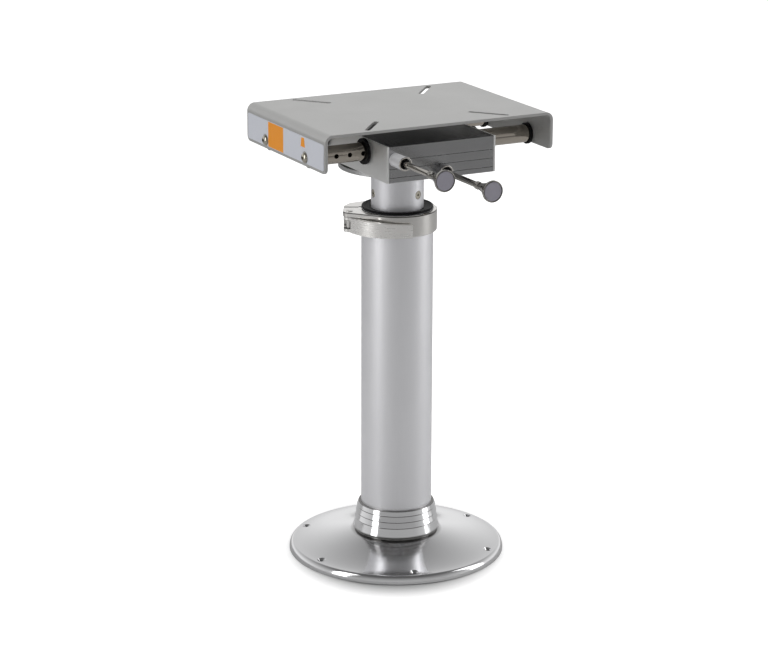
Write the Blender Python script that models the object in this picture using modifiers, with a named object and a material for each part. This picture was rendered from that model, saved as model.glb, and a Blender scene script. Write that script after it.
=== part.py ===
"""Boat seat pedestal: a telescoping column on a round deck base, with a swivelling
carriage and a seat plate that slides on two rails.

Metres, +Z up. The origin is the column's axis on the deck. X runs along the seat slide
and -Y points to the side of the two lock knobs.
"""

import bmesh
import bpy
import math
from mathutils import Vector
from mathutils.geometry import convex_hull_2d

MM = 0.001

# Clearances between pieces, and how far a cutter passes the face that it opens
SEAT_GAP = 0.3 * MM
RUN_GAP = 0.3 * MM
OVERRUN = 5.0 * MM
BROKEN_EDGE = 0.8 * MM

# Faceting of round pieces
BIG_STEPS = 36
MID_STEPS = 24
SMALL_STEPS = 16
TINY_STEPS = 10

# Deck base, one turned casting
BASE_RADIUS = 152.5 * MM
BASE_RIM_HEIGHT = 12.0 * MM
BASE_RIM_LAND = 26.0 * MM
BASE_DISH_RISE = 15.0 * MM
BASE_DISH_CURVE = 1.8
BASE_WALL = 6.0 * MM
BASE_BOSS_RADIUS = 70.0 * MM
SOCKET_FLOOR = 6.0 * MM
COLLAR_TOP = 71.0 * MM
COLLAR_WALL = 3.7 * MM
COLLAR_FLARE = 6.5 * MM
COLLAR_RING_RISE = 3.0 * MM
COLLAR_NECK = 3.0 * MM
COLLAR_GROOVES = 3
GROOVE_DEPTH = 0.9 * MM
RIB_COUNT = 6
RIB_THICKNESS = 5.0 * MM
RIM_ROUND = 7.0 * MM
DECK_HOLE_RADIUS = 3.5 * MM
DECK_HOLE_SINK = 2.6 * MM
DECK_HOLE_CIRCLE = 137.8 * MM
DECK_HOLE_PHASE = math.radians(12.8)
DECK_HOLE_COUNT = 6

# Outer column and the guide bush in its mouth
COLUMN_RADIUS = 50.0 * MM
COLUMN_WALL = 4.0 * MM
COLUMN_TOP = 500.0 * MM
BUSH_FLANGE = 4.7 * MM
BUSH_DISH = 1.8 * MM
BUSH_SKIRT = 60.0 * MM
COLUMN_SLIT_WIDTH = 3.0 * MM

# Column clamp
CLAMP_ANGLE = math.radians(152.3)
CLAMP_HEIGHT = 31.0 * MM
CLAMP_WALL = 4.7 * MM
CLAMP_CHAMFER = 1.5 * MM
CLAMP_SPLIT = 4.0 * MM
CLAMP_LEDGE = 7.0 * MM
LUG_THICKNESS = 11.5 * MM
LUG_REACH = 24.0 * MM
PIVOT_REACH = 16.0 * MM
HEAD_RADIUS = 8.0 * MM
LEVER_HEIGHT = 21.0 * MM
LEVER_THICKNESS = 7.0 * MM
LEVER_SWEEP = math.radians(91.0)
LEVER_CLEARANCE = 2.6 * MM
FORK_SLOT = 11.0 * MM
EYE_RADIUS = 5.6 * MM
EYE_CLEARANCE = 0.7 * MM
CLAMP_BOLT_RADIUS = 3.0 * MM
CLAMP_NUT_RADIUS = 5.8 * MM
CLAMP_NUT_HEIGHT = 5.0 * MM
PIN_HEAD_RADIUS = 4.8 * MM
PIN_HEAD_HEIGHT = 1.8 * MM

# Riser: the inner column with the swivel spindle in its top
RISER_RADIUS = 36.5 * MM
RISER_WALL = 3.5 * MM
RISER_BOTTOM = 190.0 * MM
RISER_TOP = 558.7 * MM
FOOT_BUSH_HEIGHT = 26.0 * MM
FOOT_BUSH_FLOOR = 6.0 * MM
PLUG_DEPTH = 60.0 * MM
RISER_SCREW_DROP = 37.7 * MM
RISER_SCREW_RADIUS = 2.6 * MM
RISER_SCREW_HEAD = 5.2 * MM
RISER_SCREW_LENGTH = 15.0 * MM
FLAT_HEAD_LAND = 0.3 * MM
RISER_SCREW_ANGLES = [math.radians(degrees) for degrees in (-66.0, 54.0, 174.0)]
DISC_RADIUS = 82.0 * MM
DISC_THICKNESS = 6.0 * MM
FRICTION_WASHER = 2.2 * MM
POST_RADIUS = 20.0 * MM
THREAD_RADIUS = 15.0 * MM
THREAD_PROUD = 3.0 * MM
SPIGOT_RADIUS = 12.0 * MM
SPIGOT_DEPTH = 26.0 * MM
THRUST_WASHER = 2.0 * MM
THRUST_WASHER_RADIUS = 28.0 * MM
SPINDLE_NUT_HEIGHT = 11.0 * MM
SPINDLE_NUT_RADIUS = 25.0 * MM
INDEX_HOLES = 8
INDEX_HOLE_DEPTH = 8.0 * MM

# Carriage: a hollow aluminium section with an end plate at each side
CARRIAGE_LENGTH = 158.0 * MM
CARRIAGE_WIDTH = 252.0 * MM
CARRIAGE_HEIGHT = 49.7 * MM
CARRIAGE_SKIN = 3.0 * MM
CARRIAGE_FRONT_WALL = 4.5 * MM
SECTION_RIB = 4.0 * MM
SECTION_GROOVES = 3
SECTION_GROOVE_LOW = 7.2 * MM
SECTION_GROOVE_SPAN = 24.0 * MM
SECTION_GROOVE_DEPTH = 1.2 * MM
SECTION_CORNER = 1.0 * MM
END_PLATE = 2.7 * MM
WEB_HEIGHT = 18.2 * MM
NUT_POCKET_RADIUS = 30.0 * MM

# Rails, their bushes in the carriage and their stops at the plate
RAIL_RADIUS = 12.5 * MM
RAIL_WALL = 2.5 * MM
RAIL_SPACING = 122.0 * MM
RAIL_RISE = 31.7 * MM
RAIL_BUSH_WALL = 2.7 * MM
RAIL_BUSH_FLANGE = 2.3 * MM
RAIL_BUSH_PROUD = 4.0 * MM
RAIL_BUSH_DEPTH = 3.5 * MM
STOP_THICKNESS = 4.0 * MM
STOP_WALL = 2.0 * MM
RAIL_PLUG_LENGTH = 22.0 * MM
RAIL_SCREW_RADIUS = 4.0 * MM
RAIL_SCREW_HEAD = 7.0 * MM
RAIL_SCREW_HEAD_HEIGHT = 4.4 * MM
RAIL_SCREW_LENGTH = 18.0 * MM
LOCK_HOLE_PITCH = 20.0 * MM
LOCK_HOLES = 7

# Lock pins with their sprung housings and pull knobs
LOCK_BOSS_RADIUS = 9.3 * MM
LOCK_BOSS_LENGTH = 27.5 * MM
LOCK_BOSS_BORE = 7.5 * MM
LOCK_SPIGOT_RADIUS = 8.2 * MM
LOCK_RING_HEIGHT = 2.0 * MM
LOCK_GUIDE_HEIGHT = 4.0 * MM
LOCK_GUIDE_DEPTH = 2.5 * MM
LOCK_ROD_RADIUS = 4.0 * MM
LOCK_TIP_RADIUS = 3.0 * MM
LOCK_TIP_CLEARANCE = 0.5 * MM
LOCK_COLLAR_RADIUS = 6.6 * MM
LOCK_COLLAR_HEIGHT = 3.0 * MM
SLIDE_LOCK_SETBACK = 4.8 * MM
SWIVEL_LOCK_RISE = 10.2 * MM
SWIVEL_LOCK_DEPTH = 15.5 * MM
KNOB_LENGTH = 42.0 * MM
ROD_IN_KNOB = 12.0 * MM
KNOB_NECK_RADIUS = 5.4 * MM
KNOB_FACE_RADIUS = 14.5 * MM
KNOB_FACE_REACH = 138.0 * MM
KNOB_RIM = 1.6 * MM
KNOB_LAND = 3.5 * MM
INLAY_THICKNESS = 1.4 * MM
SPRING_WIRE = 0.55 * MM
SPRING_TURNS = 4
SPRING_POINTS = 7

# Seat plate, one folded sheet
PLATE_LENGTH = 346.0 * MM
PLATE_OFFSET = 2.0 * MM
PLATE_WIDTH = 242.0 * MM
PLATE_THICKNESS = 4.0 * MM
PLATE_RISE = 40.5 * MM
FLANGE_DROP = 11.5 * MM
PLATE_BEND = 11.0 * MM
FLANGE_CORNER = 8.0 * MM
SLOT_WIDTH = 7.6 * MM
SLOT_INNER = (70.0 * MM, 68.0 * MM)
SLOT_OUTER = (108.0 * MM, 113.0 * MM)

# Places worked out from the sizes above
SOCKET_RADIUS = COLUMN_RADIUS + SEAT_GAP
CLAMP_BOTTOM = COLUMN_TOP - CLAMP_HEIGHT
CLAMP_INNER = COLUMN_RADIUS + SEAT_GAP
CLAMP_OUTER = CLAMP_INNER + CLAMP_WALL
LUG_FACE = CLAMP_SPLIT / 2 + LUG_THICKNESS
LUG_END = COLUMN_RADIUS + LUG_REACH
BOLT_X = COLUMN_RADIUS + PIVOT_REACH
PIVOT_Y = LUG_FACE + SEAT_GAP + HEAD_RADIUS
LEVER_TOP = COLUMN_TOP - CLAMP_LEDGE - 1.0 * MM
LEVER_BOTTOM = LEVER_TOP - LEVER_HEIGHT
LEVER_MIDDLE = LEVER_TOP - LEVER_HEIGHT / 2
PLUG_RADIUS = RISER_RADIUS - RISER_WALL - SEAT_GAP
DISC_BOTTOM = RISER_TOP + SEAT_GAP
DISC_TOP = DISC_BOTTOM + DISC_THICKNESS
WASHER_BOTTOM = DISC_TOP + SEAT_GAP
CARRIAGE_BOTTOM = WASHER_BOTTOM + FRICTION_WASHER + SEAT_GAP
CARRIAGE_TOP = CARRIAGE_BOTTOM + CARRIAGE_HEIGHT
WEB_TOP = CARRIAGE_BOTTOM + WEB_HEIGHT
THRUST_BOTTOM = WEB_TOP + SEAT_GAP
NUT_BOTTOM = THRUST_BOTTOM + THRUST_WASHER + SEAT_GAP
RAIL_Z = CARRIAGE_BOTTOM + RAIL_RISE
RAIL_BORE_RADIUS = RAIL_RADIUS + RUN_GAP + RAIL_BUSH_WALL + SEAT_GAP
CARRIAGE_FRONT = CARRIAGE_WIDTH / 2
CARRIAGE_END = CARRIAGE_LENGTH / 2
END_PLATE_FACE = CARRIAGE_END + SEAT_GAP + END_PLATE
SWIVEL_LOCK_Z = CARRIAGE_BOTTOM + SWIVEL_LOCK_RISE
SLIDE_LOCK_X = -(CARRIAGE_END - RAIL_BUSH_DEPTH - SLIDE_LOCK_SETBACK)
LOCK_BOSS_FACE = CARRIAGE_FRONT + SEAT_GAP
KNOB_FACE = CARRIAGE_FRONT + KNOB_FACE_REACH
PLATE_LEFT = PLATE_OFFSET - PLATE_LENGTH / 2
PLATE_RIGHT = PLATE_OFFSET + PLATE_LENGTH / 2
PLATE_TOP = RAIL_Z + PLATE_RISE
PLATE_BOTTOM = RAIL_Z - FLANGE_DROP

# Ways to lay a turned piece down: its own Z becomes world +X, world -Y or stays up
ALONG_X = (0.0, math.pi / 2, 0.0)
TOWARD_KNOBS = (math.pi / 2, 0.0, 0.0)
UPRIGHT = (0.0, 0.0, 0.0)
# An outline in its own XY plane becomes one in the world's YZ plane, extruded along X
OUTLINE_YZ = (math.pi / 2, 0.0, math.pi / 2)


def clear_scene():
    for item in list(bpy.data.objects):
        bpy.data.objects.remove(item, do_unlink=True)


def add_collection(name):
    collection = bpy.data.collections.new(name)
    bpy.context.scene.collection.children.link(collection)
    return collection


clear_scene()
PARTS = add_collection("boat_seat_pedestal")
CUTTERS = add_collection("cutters")


def finish_material(name, color, metallic, roughness):
    material = bpy.data.materials.new(name)
    material.use_nodes = True
    shader = material.node_tree.nodes["Principled BSDF"]
    shader.inputs["Base Color"].default_value = (*color, 1.0)
    shader.inputs["Metallic"].default_value = metallic
    shader.inputs["Roughness"].default_value = roughness
    return material


FINISHES = {
    "cast_aluminium": ((0.62, 0.62, 0.63), 1.0, 0.25),
    "satin_aluminium": ((0.70, 0.70, 0.72), 1.0, 0.40),
    "anodised_grey": ((0.42, 0.42, 0.43), 0.9, 0.45),
    "bright_steel": ((0.72, 0.70, 0.67), 1.0, 0.15),
    "rail_chrome": ((0.62, 0.57, 0.50), 1.0, 0.20),
    "plain_steel": ((0.55, 0.55, 0.56), 1.0, 0.35),
    "black_plastic": ((0.03, 0.03, 0.03), 0.0, 0.45),
    "plate_grey": ((0.45, 0.45, 0.44), 0.3, 0.45),
    "inlay_grey": ((0.35, 0.34, 0.38), 0.0, 0.50),
}


def dress(item, finish):
    """Give a piece a material of its own in one of the finishes."""
    color, metallic, roughness = FINISHES[finish]
    item.data.materials.clear()
    item.data.materials.append(finish_material(item.name + "_" + finish, color, metallic, roughness))


def place(item, location, rotation, finish):
    """Put a new object in the parts, or among the cutters where it has no finish."""
    item.location = location
    item.rotation_euler = rotation
    if finish is None:
        CUTTERS.objects.link(item)
        item.hide_render = True
        item.display_type = "WIRE"
        return item
    PARTS.objects.link(item)
    dress(item, finish)
    if item.type == "MESH":
        item.data.shade_smooth()
        item.data.set_sharp_from_angle(angle=math.radians(35))
    return item


def turned(name, profile, finish=None, steps=MID_STEPS, ring=False, location=(0, 0, 0),
           rotation=UPRIGHT):
    """A turned piece: (radius, height) points down the outer side, spun about its own Z."""
    mesh = bpy.data.meshes.new(name)
    edges = [(index, index + 1) for index in range(len(profile) - 1)]
    if ring:
        edges.append((len(profile) - 1, 0))
    mesh.from_pydata([(radius, 0.0, height) for radius, height in profile], edges, [])
    item = place(bpy.data.objects.new(name, mesh), location, rotation, finish)
    spin = item.modifiers.new("spin", "SCREW")
    spin.angle = math.tau
    spin.steps = steps
    spin.render_steps = steps
    spin.use_merge_vertices = True
    spin.merge_threshold = 0.00001
    spin.use_smooth_shade = True
    return item


def rod(name, radius, bottom, top, finish=None, steps=MID_STEPS, location=(0, 0, 0),
        rotation=UPRIGHT):
    """A plain round bar between two heights on its own Z."""
    profile = [(0.0, top), (radius, top), (radius, bottom), (0.0, bottom)]
    return turned(name, profile, finish, steps, False, location, rotation)


def pipe(name, outer, inner, bottom, top, finish=None, steps=MID_STEPS, location=(0, 0, 0),
         rotation=UPRIGHT):
    """A plain tube or washer between two heights on its own Z."""
    profile = [(inner, top), (outer, top), (outer, bottom), (inner, bottom)]
    return turned(name, profile, finish, steps, True, location, rotation)


def box(name, low, high, finish=None, rotation=UPRIGHT):
    """A box between two corners in its own axes."""
    mesh = bpy.data.meshes.new(name)
    shape = bmesh.new()
    bmesh.ops.create_cube(shape, size=1.0)
    size = Vector(high) - Vector(low)
    middle = (Vector(high) + Vector(low)) / 2
    bmesh.ops.scale(shape, vec=size, verts=shape.verts)
    bmesh.ops.translate(shape, vec=middle, verts=shape.verts)
    shape.to_mesh(mesh)
    shape.free()
    return place(bpy.data.objects.new(name, mesh), (0, 0, 0), rotation, finish)


def arc(center, radius, start, end, count):
    """Points on an arc, both ends included."""
    points = []
    for index in range(count + 1):
        angle = start + (end - start) * index / count
        points.append((center[0] + radius * math.cos(angle), center[1] + radius * math.sin(angle)))
    return points


def circle(center, radius, count):
    return arc(center, radius, 0.0, math.tau, count)[:-1]


def rounded_box(low, high, radius, count=3):
    """Outline of a rectangle with round corners."""
    quarter = math.pi / 2
    corners = [(high[0] - radius, high[1] - radius), (low[0] + radius, high[1] - radius),
               (low[0] + radius, low[1] + radius), (high[0] - radius, low[1] + radius)]
    points = []
    for index, corner in enumerate(corners):
        points += arc(corner, radius, index * quarter, (index + 1) * quarter, count)
    return points


def evaluated_mesh(item):
    """The mesh that an object shows after its modifiers."""
    graph = bpy.context.evaluated_depsgraph_get()
    return bpy.data.meshes.new_from_object(item.evaluated_get(graph))


def slab(name, outlines, low, high, finish=None, location=(0, 0, 0), rotation=UPRIGHT):
    """A flat outline, with any holes in it, extruded along its own Z from low to high."""
    curve = bpy.data.curves.new(name, "CURVE")
    curve.dimensions = "2D"
    curve.fill_mode = "BOTH"
    curve.extrude = (high - low) / 2
    for outline in outlines:
        spline = curve.splines.new("POLY")
        spline.points.add(len(outline) - 1)
        for point, (x, y) in zip(spline.points, outline):
            point.co = (x, y, 0.0, 1.0)
        spline.use_cyclic_u = True
    drawn = bpy.data.objects.new(name + "_drawn", curve)
    bpy.context.scene.collection.objects.link(drawn)
    mesh = evaluated_mesh(drawn)
    bpy.data.objects.remove(drawn, do_unlink=True)
    shape = bmesh.new()
    shape.from_mesh(mesh)
    bmesh.ops.remove_doubles(shape, verts=shape.verts, dist=0.000001)
    bmesh.ops.translate(shape, vec=(0.0, 0.0, (high + low) / 2), verts=shape.verts)
    bmesh.ops.recalc_face_normals(shape, faces=shape.faces)
    shape.to_mesh(mesh)
    shape.free()
    mesh.name = name
    return place(bpy.data.objects.new(name, mesh), location, rotation, finish)


def combine(item, other, operation):
    modifier = item.modifiers.new(other.name, "BOOLEAN")
    modifier.operation = operation
    modifier.solver = "EXACT"
    modifier.object = other


def cut(item, *cutters):
    for cutter in cutters:
        combine(item, cutter, "DIFFERENCE")


def join(item, *pieces):
    for piece in pieces:
        combine(item, piece, "UNION")


def on_circle(radius, angle, height=0.0):
    return Vector((radius * math.cos(angle), radius * math.sin(angle), height))


def hexagon(radius):
    return circle((0.0, 0.0), radius, 6)


def flat_head_screw(name, shank, head, length, location, rotation, finish):
    """A countersunk screw: its head's face is at its own Z = 0 and the shank runs down."""
    cone = head - shank
    profile = [(0.0, 0.0), (head, 0.0), (head, -FLAT_HEAD_LAND), (shank, -FLAT_HEAD_LAND - cone),
               (shank, -length), (0.0, -length)]
    screw = turned(name, profile, finish, TINY_STEPS, False, location, rotation)
    socket = slab(name + "_socket", [hexagon(0.55 * shank)], -0.45 * head, head, None, location,
                  rotation)
    cut(screw, socket)


def flat_head_cutter(name, shank, head, length, location, rotation):
    """The countersunk hole that such a screw sits in, with clearance all round."""
    cone = head - shank
    wide = head + SEAT_GAP
    narrow = shank + SEAT_GAP
    land = FLAT_HEAD_LAND + SEAT_GAP
    profile = [(0.0, head), (wide, head), (wide, -land), (narrow, -land - cone),
               (narrow, -length - SEAT_GAP), (0.0, -length - SEAT_GAP)]
    return turned(name, profile, None, TINY_STEPS, False, location, rotation)


def collar_radius(height):
    """Outer radius of the base's collar, which widens toward the dish."""
    top_radius = SOCKET_RADIUS + COLLAR_WALL
    cone_bottom = BASE_RIM_HEIGHT + BASE_DISH_RISE + COLLAR_RING_RISE + COLLAR_NECK
    return top_radius + COLLAR_FLARE * (COLLAR_TOP - height) / (COLLAR_TOP - cone_bottom)


def base_profile():
    """The casting from its socket floor over the collar, dish and rim to its underside."""
    dish_top = BASE_RIM_HEIGHT + BASE_DISH_RISE
    ring_top = dish_top + COLLAR_RING_RISE
    cone_bottom = ring_top + COLLAR_NECK
    ring_radius = collar_radius(cone_bottom) + COLLAR_NECK
    edge = BROKEN_EDGE
    points = [(0.0, SOCKET_FLOOR), (SOCKET_RADIUS, SOCKET_FLOOR), (SOCKET_RADIUS, COLLAR_TOP),
              (collar_radius(COLLAR_TOP) - edge, COLLAR_TOP),
              (collar_radius(COLLAR_TOP - edge), COLLAR_TOP - edge)]
    pitch = (COLLAR_TOP - cone_bottom) / (COLLAR_GROOVES + 1)
    for index in range(1, COLLAR_GROOVES + 1):
        height = COLLAR_TOP - pitch * index
        points += [(collar_radius(height + GROOVE_DEPTH), height + GROOVE_DEPTH),
                   (collar_radius(height) - GROOVE_DEPTH, height),
                   (collar_radius(height - GROOVE_DEPTH), height - GROOVE_DEPTH)]
    points += [(collar_radius(cone_bottom), cone_bottom),
               (collar_radius(cone_bottom) - COLLAR_NECK / 2, ring_top + edge),
               (ring_radius - edge, ring_top), (ring_radius, ring_top - edge),
               (ring_radius, dish_top + COLLAR_NECK / 2)]
    rim_radius = BASE_RADIUS - 0.8 * RIM_ROUND
    dish_start = ring_radius + COLLAR_NECK
    for index in range(8):
        share = index / 7
        radius = dish_start + (rim_radius - dish_start) * share
        points.append((radius, BASE_RIM_HEIGHT + BASE_DISH_RISE * (1 - share) ** BASE_DISH_CURVE))
    points += arc((BASE_RADIUS - RIM_ROUND, 5.0 * MM), RIM_ROUND, math.radians(62),
                  math.radians(-42), 4)
    rim_inner = BASE_RADIUS - BASE_RIM_LAND
    roof = BASE_RIM_HEIGHT + BASE_DISH_RISE * 0.1 - BASE_WALL
    points += [(BASE_RADIUS - 3.0 * MM, 0.0), (rim_inner, 0.0), (rim_inner - 2.0 * MM, roof),
               (BASE_BOSS_RADIUS + 2.0 * MM, dish_top - 1.4 * BASE_WALL), (BASE_BOSS_RADIUS, 0.0), (0.0, 0.0)]
    return points


def build_base():
    base = turned("base_flange", base_profile(), "cast_aluminium", BIG_STEPS)
    roof = BASE_RIM_HEIGHT + BASE_DISH_RISE * 0.1 - BASE_WALL + 1.0 * MM
    spokes = []
    for index in range(RIB_COUNT):
        angle = DECK_HOLE_PHASE + math.pi / RIB_COUNT + math.tau * index / RIB_COUNT
        low = (BASE_BOSS_RADIUS - 3.0 * MM, -RIB_THICKNESS / 2, 1.0 * MM)
        high = (BASE_RADIUS - BASE_RIM_LAND + 3.0 * MM, RIB_THICKNESS / 2, roof)
        spokes.append(box("base_rib_%d" % index, low, high, None, (0.0, 0.0, angle)))
    join(base, *spokes)
    for index in range(DECK_HOLE_COUNT):
        center = on_circle(DECK_HOLE_CIRCLE, DECK_HOLE_PHASE + math.tau * index / DECK_HOLE_COUNT)
        mouth = BASE_RIM_HEIGHT + 0.8 * MM
        sink = DECK_HOLE_SINK
        profile = [(0.0, mouth + sink), (DECK_HOLE_RADIUS + 2 * sink, mouth + sink),
                   (DECK_HOLE_RADIUS, mouth - sink), (DECK_HOLE_RADIUS, -OVERRUN), (0.0, -OVERRUN)]
        cut(base, turned("deck_hole_%d" % index, profile, None, TINY_STEPS, False, center))


def build_column():
    bottom = SOCKET_FLOOR + SEAT_GAP
    inner = COLUMN_RADIUS - COLUMN_WALL
    column = pipe("outer_tube", COLUMN_RADIUS, inner, bottom, COLUMN_TOP, "satin_aluminium", BIG_STEPS)
    slit = box("column_slit", (inner - OVERRUN, -COLUMN_SLIT_WIDTH / 2, CLAMP_BOTTOM + 3.0 * MM),
               (COLUMN_RADIUS + OVERRUN, COLUMN_SLIT_WIDTH / 2, COLUMN_TOP + OVERRUN),
               None, (0.0, 0.0, CLAMP_ANGLE))
    cut(column, slit)

    skirt = inner - SEAT_GAP
    bore = RISER_RADIUS + RUN_GAP
    flange = COLUMN_RADIUS - 0.5 * MM
    low = COLUMN_TOP + SEAT_GAP
    high = low + BUSH_FLANGE
    profile = [(bore, high - BUSH_DISH), (bore + 1.5 * MM, high - BUSH_DISH), (flange - 1.6 * MM, high),
               (flange, high - 1.0 * MM), (flange, low), (skirt, low), (skirt, COLUMN_TOP - BUSH_SKIRT),
               (bore, COLUMN_TOP - BUSH_SKIRT)]
    turned("upper_guide_bush", profile, "black_plastic", BIG_STEPS, True)


def clamp_point(x, y, height=0.0):
    """A point given in the clamp's own axes, x out to its lugs and y to the lever's side."""
    return on_circle(math.hypot(x, y), CLAMP_ANGLE + math.atan2(y, x), height)


def build_clamp_band():
    turn = (0.0, 0.0, CLAMP_ANGLE)
    chamfer = CLAMP_CHAMFER
    profile = [(CLAMP_INNER, COLUMN_TOP), (CLAMP_OUTER - chamfer, COLUMN_TOP),
               (CLAMP_OUTER, COLUMN_TOP - chamfer), (CLAMP_OUTER, CLAMP_BOTTOM + chamfer),
               (CLAMP_OUTER - chamfer, CLAMP_BOTTOM), (CLAMP_INNER, CLAMP_BOTTOM)]
    band = turned("clamp_band", profile, "bright_steel", BIG_STEPS, True, (0, 0, 0), turn)

    ledge_points = circle((BOLT_X, PIVOT_Y), HEAD_RADIUS + 1.0 * MM, SMALL_STEPS)
    ledge_points += circle((LUG_END - HEAD_RADIUS, HEAD_RADIUS - LUG_FACE), HEAD_RADIUS, SMALL_STEPS)
    ledge_points += arc((0.0, 0.0), CLAMP_OUTER, math.radians(-48), math.radians(62), 11)
    hull = [ledge_points[index] for index in convex_hull_2d([Vector(point) for point in ledge_points])]
    ledge = slab("clamp_ledge", [hull], COLUMN_TOP - CLAMP_LEDGE, COLUMN_TOP - 0.5 * MM, None,
                 (0, 0, 0), turn)
    lug = box("clamp_lug", (CLAMP_INNER - OVERRUN, -LUG_FACE, CLAMP_BOTTOM + chamfer),
              (LUG_END, LUG_FACE, COLUMN_TOP - CLAMP_LEDGE + 1.0 * MM), None, turn)
    join(band, ledge, lug)

    bore = rod("clamp_bore", CLAMP_INNER, CLAMP_BOTTOM - OVERRUN, COLUMN_TOP + OVERRUN, None,
               BIG_STEPS, (0, 0, 0), turn)
    split = box("clamp_split", (CLAMP_INNER - 3 * OVERRUN, -CLAMP_SPLIT / 2, CLAMP_BOTTOM - OVERRUN),
                (LUG_END + OVERRUN, CLAMP_SPLIT / 2, COLUMN_TOP + OVERRUN), None, turn)
    hole = rod("clamp_bolt_hole", CLAMP_BOLT_RADIUS + SEAT_GAP, -LUG_FACE - OVERRUN,
               LUG_FACE + OVERRUN, None, SMALL_STEPS, clamp_point(BOLT_X, 0.0, LEVER_MIDDLE),
               (math.pi / 2, 0.0, CLAMP_ANGLE))
    pin_hole = rod("clamp_pin_hole", CLAMP_BOLT_RADIUS + SEAT_GAP, LEVER_TOP - OVERRUN,
                   COLUMN_TOP + OVERRUN, None, SMALL_STEPS, clamp_point(BOLT_X, PIVOT_Y))
    cut(band, bore, split, hole, pin_hole)


def build_clamp_bolt():
    """The eye bolt that draws the lugs together, its nut and the lever's pivot pin."""
    turn = (0.0, 0.0, CLAMP_ANGLE)
    pivot_place = clamp_point(BOLT_X, PIVOT_Y)
    eye_half = FORK_SLOT / 2 - SEAT_GAP
    nut_low = LUG_FACE + SEAT_GAP
    nut_high = nut_low + CLAMP_NUT_HEIGHT
    bolt_turn = (math.pi / 2, 0.0, CLAMP_ANGLE)
    bolt_place = clamp_point(BOLT_X, 0.0, LEVER_MIDDLE)
    bolt = rod("clamp_bolt", CLAMP_BOLT_RADIUS, 1.0 * MM - PIVOT_Y, nut_high + 2.0 * MM,
               "bright_steel", SMALL_STEPS, bolt_place, bolt_turn)
    eye = rod("clamp_bolt_eye", EYE_RADIUS, LEVER_MIDDLE - eye_half, LEVER_MIDDLE + eye_half,
              None, SMALL_STEPS, pivot_place)
    eye_bore = rod("clamp_bolt_bore", CLAMP_BOLT_RADIUS + RUN_GAP, LEVER_MIDDLE - LEVER_HEIGHT / 2,
                   LEVER_MIDDLE + LEVER_HEIGHT / 2, None, SMALL_STEPS, pivot_place)
    join(bolt, eye)
    cut(bolt, eye_bore)

    nut_bore = circle((0.0, 0.0), CLAMP_BOLT_RADIUS + SEAT_GAP, SMALL_STEPS)
    slab("clamp_nut", [hexagon(CLAMP_NUT_RADIUS), nut_bore], nut_low, nut_high, "bright_steel",
         bolt_place, bolt_turn)

    head_low = COLUMN_TOP - 0.5 * MM + SEAT_GAP
    head_top = head_low + PIN_HEAD_HEIGHT
    edge = PIN_HEAD_HEIGHT / 3
    profile = [(0.0, head_top), (PIN_HEAD_RADIUS - edge, head_top), (PIN_HEAD_RADIUS, head_top - edge),
               (PIN_HEAD_RADIUS, head_low), (CLAMP_BOLT_RADIUS, head_low),
               (CLAMP_BOLT_RADIUS, LEVER_BOTTOM), (0.0, LEVER_BOTTOM)]
    turned("clamp_pin", profile, "bright_steel", SMALL_STEPS, False, pivot_place, turn)


def build_clamp_lever():
    """A curved flat bar that wraps round the band, with a forked round head on the pin."""
    start_angle = math.atan2(PIVOT_Y, BOLT_X)
    start_radius = math.hypot(BOLT_X, PIVOT_Y)
    end_radius = CLAMP_OUTER + LEVER_CLEARANCE + LEVER_THICKNESS / 2
    outer_side = []
    inner_side = []
    for index in range(15):
        share = index / 14
        angle = start_angle + LEVER_SWEEP * share
        middle = start_radius + (end_radius - start_radius) * min(1.0, share * 1.15)
        half = LEVER_THICKNESS / 2 * (1.0 - 0.15 * share)
        for side, radius in ((outer_side, middle + half), (inner_side, middle - half)):
            side.append((radius * math.cos(angle) - BOLT_X, radius * math.sin(angle) - PIVOT_Y))
    pivot_place = clamp_point(BOLT_X, PIVOT_Y)
    turn = (0.0, 0.0, CLAMP_ANGLE)
    lever = slab("clamp_lever", [outer_side + inner_side[::-1]], LEVER_BOTTOM, LEVER_TOP,
                 "bright_steel", pivot_place, turn)
    join(lever, rod("lever_head", HEAD_RADIUS, LEVER_BOTTOM, LEVER_TOP, None, SMALL_STEPS, pivot_place))

    slot_low = LEVER_MIDDLE - FORK_SLOT / 2
    slot_high = LEVER_MIDDLE + FORK_SLOT / 2
    slot = box("lever_slot", (-1.5 * HEAD_RADIUS, -1.5 * HEAD_RADIUS, slot_low),
               (1.5 * HEAD_RADIUS, EYE_RADIUS + EYE_CLEARANCE, slot_high), None,
               (0.0, 0.0, CLAMP_ANGLE + start_angle))
    slot.location = pivot_place
    pin_hole = rod("lever_pin_hole", CLAMP_BOLT_RADIUS + RUN_GAP, LEVER_BOTTOM - OVERRUN,
                   LEVER_TOP + OVERRUN, None, SMALL_STEPS, pivot_place)
    cut(lever, slot, pin_hole)


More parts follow.
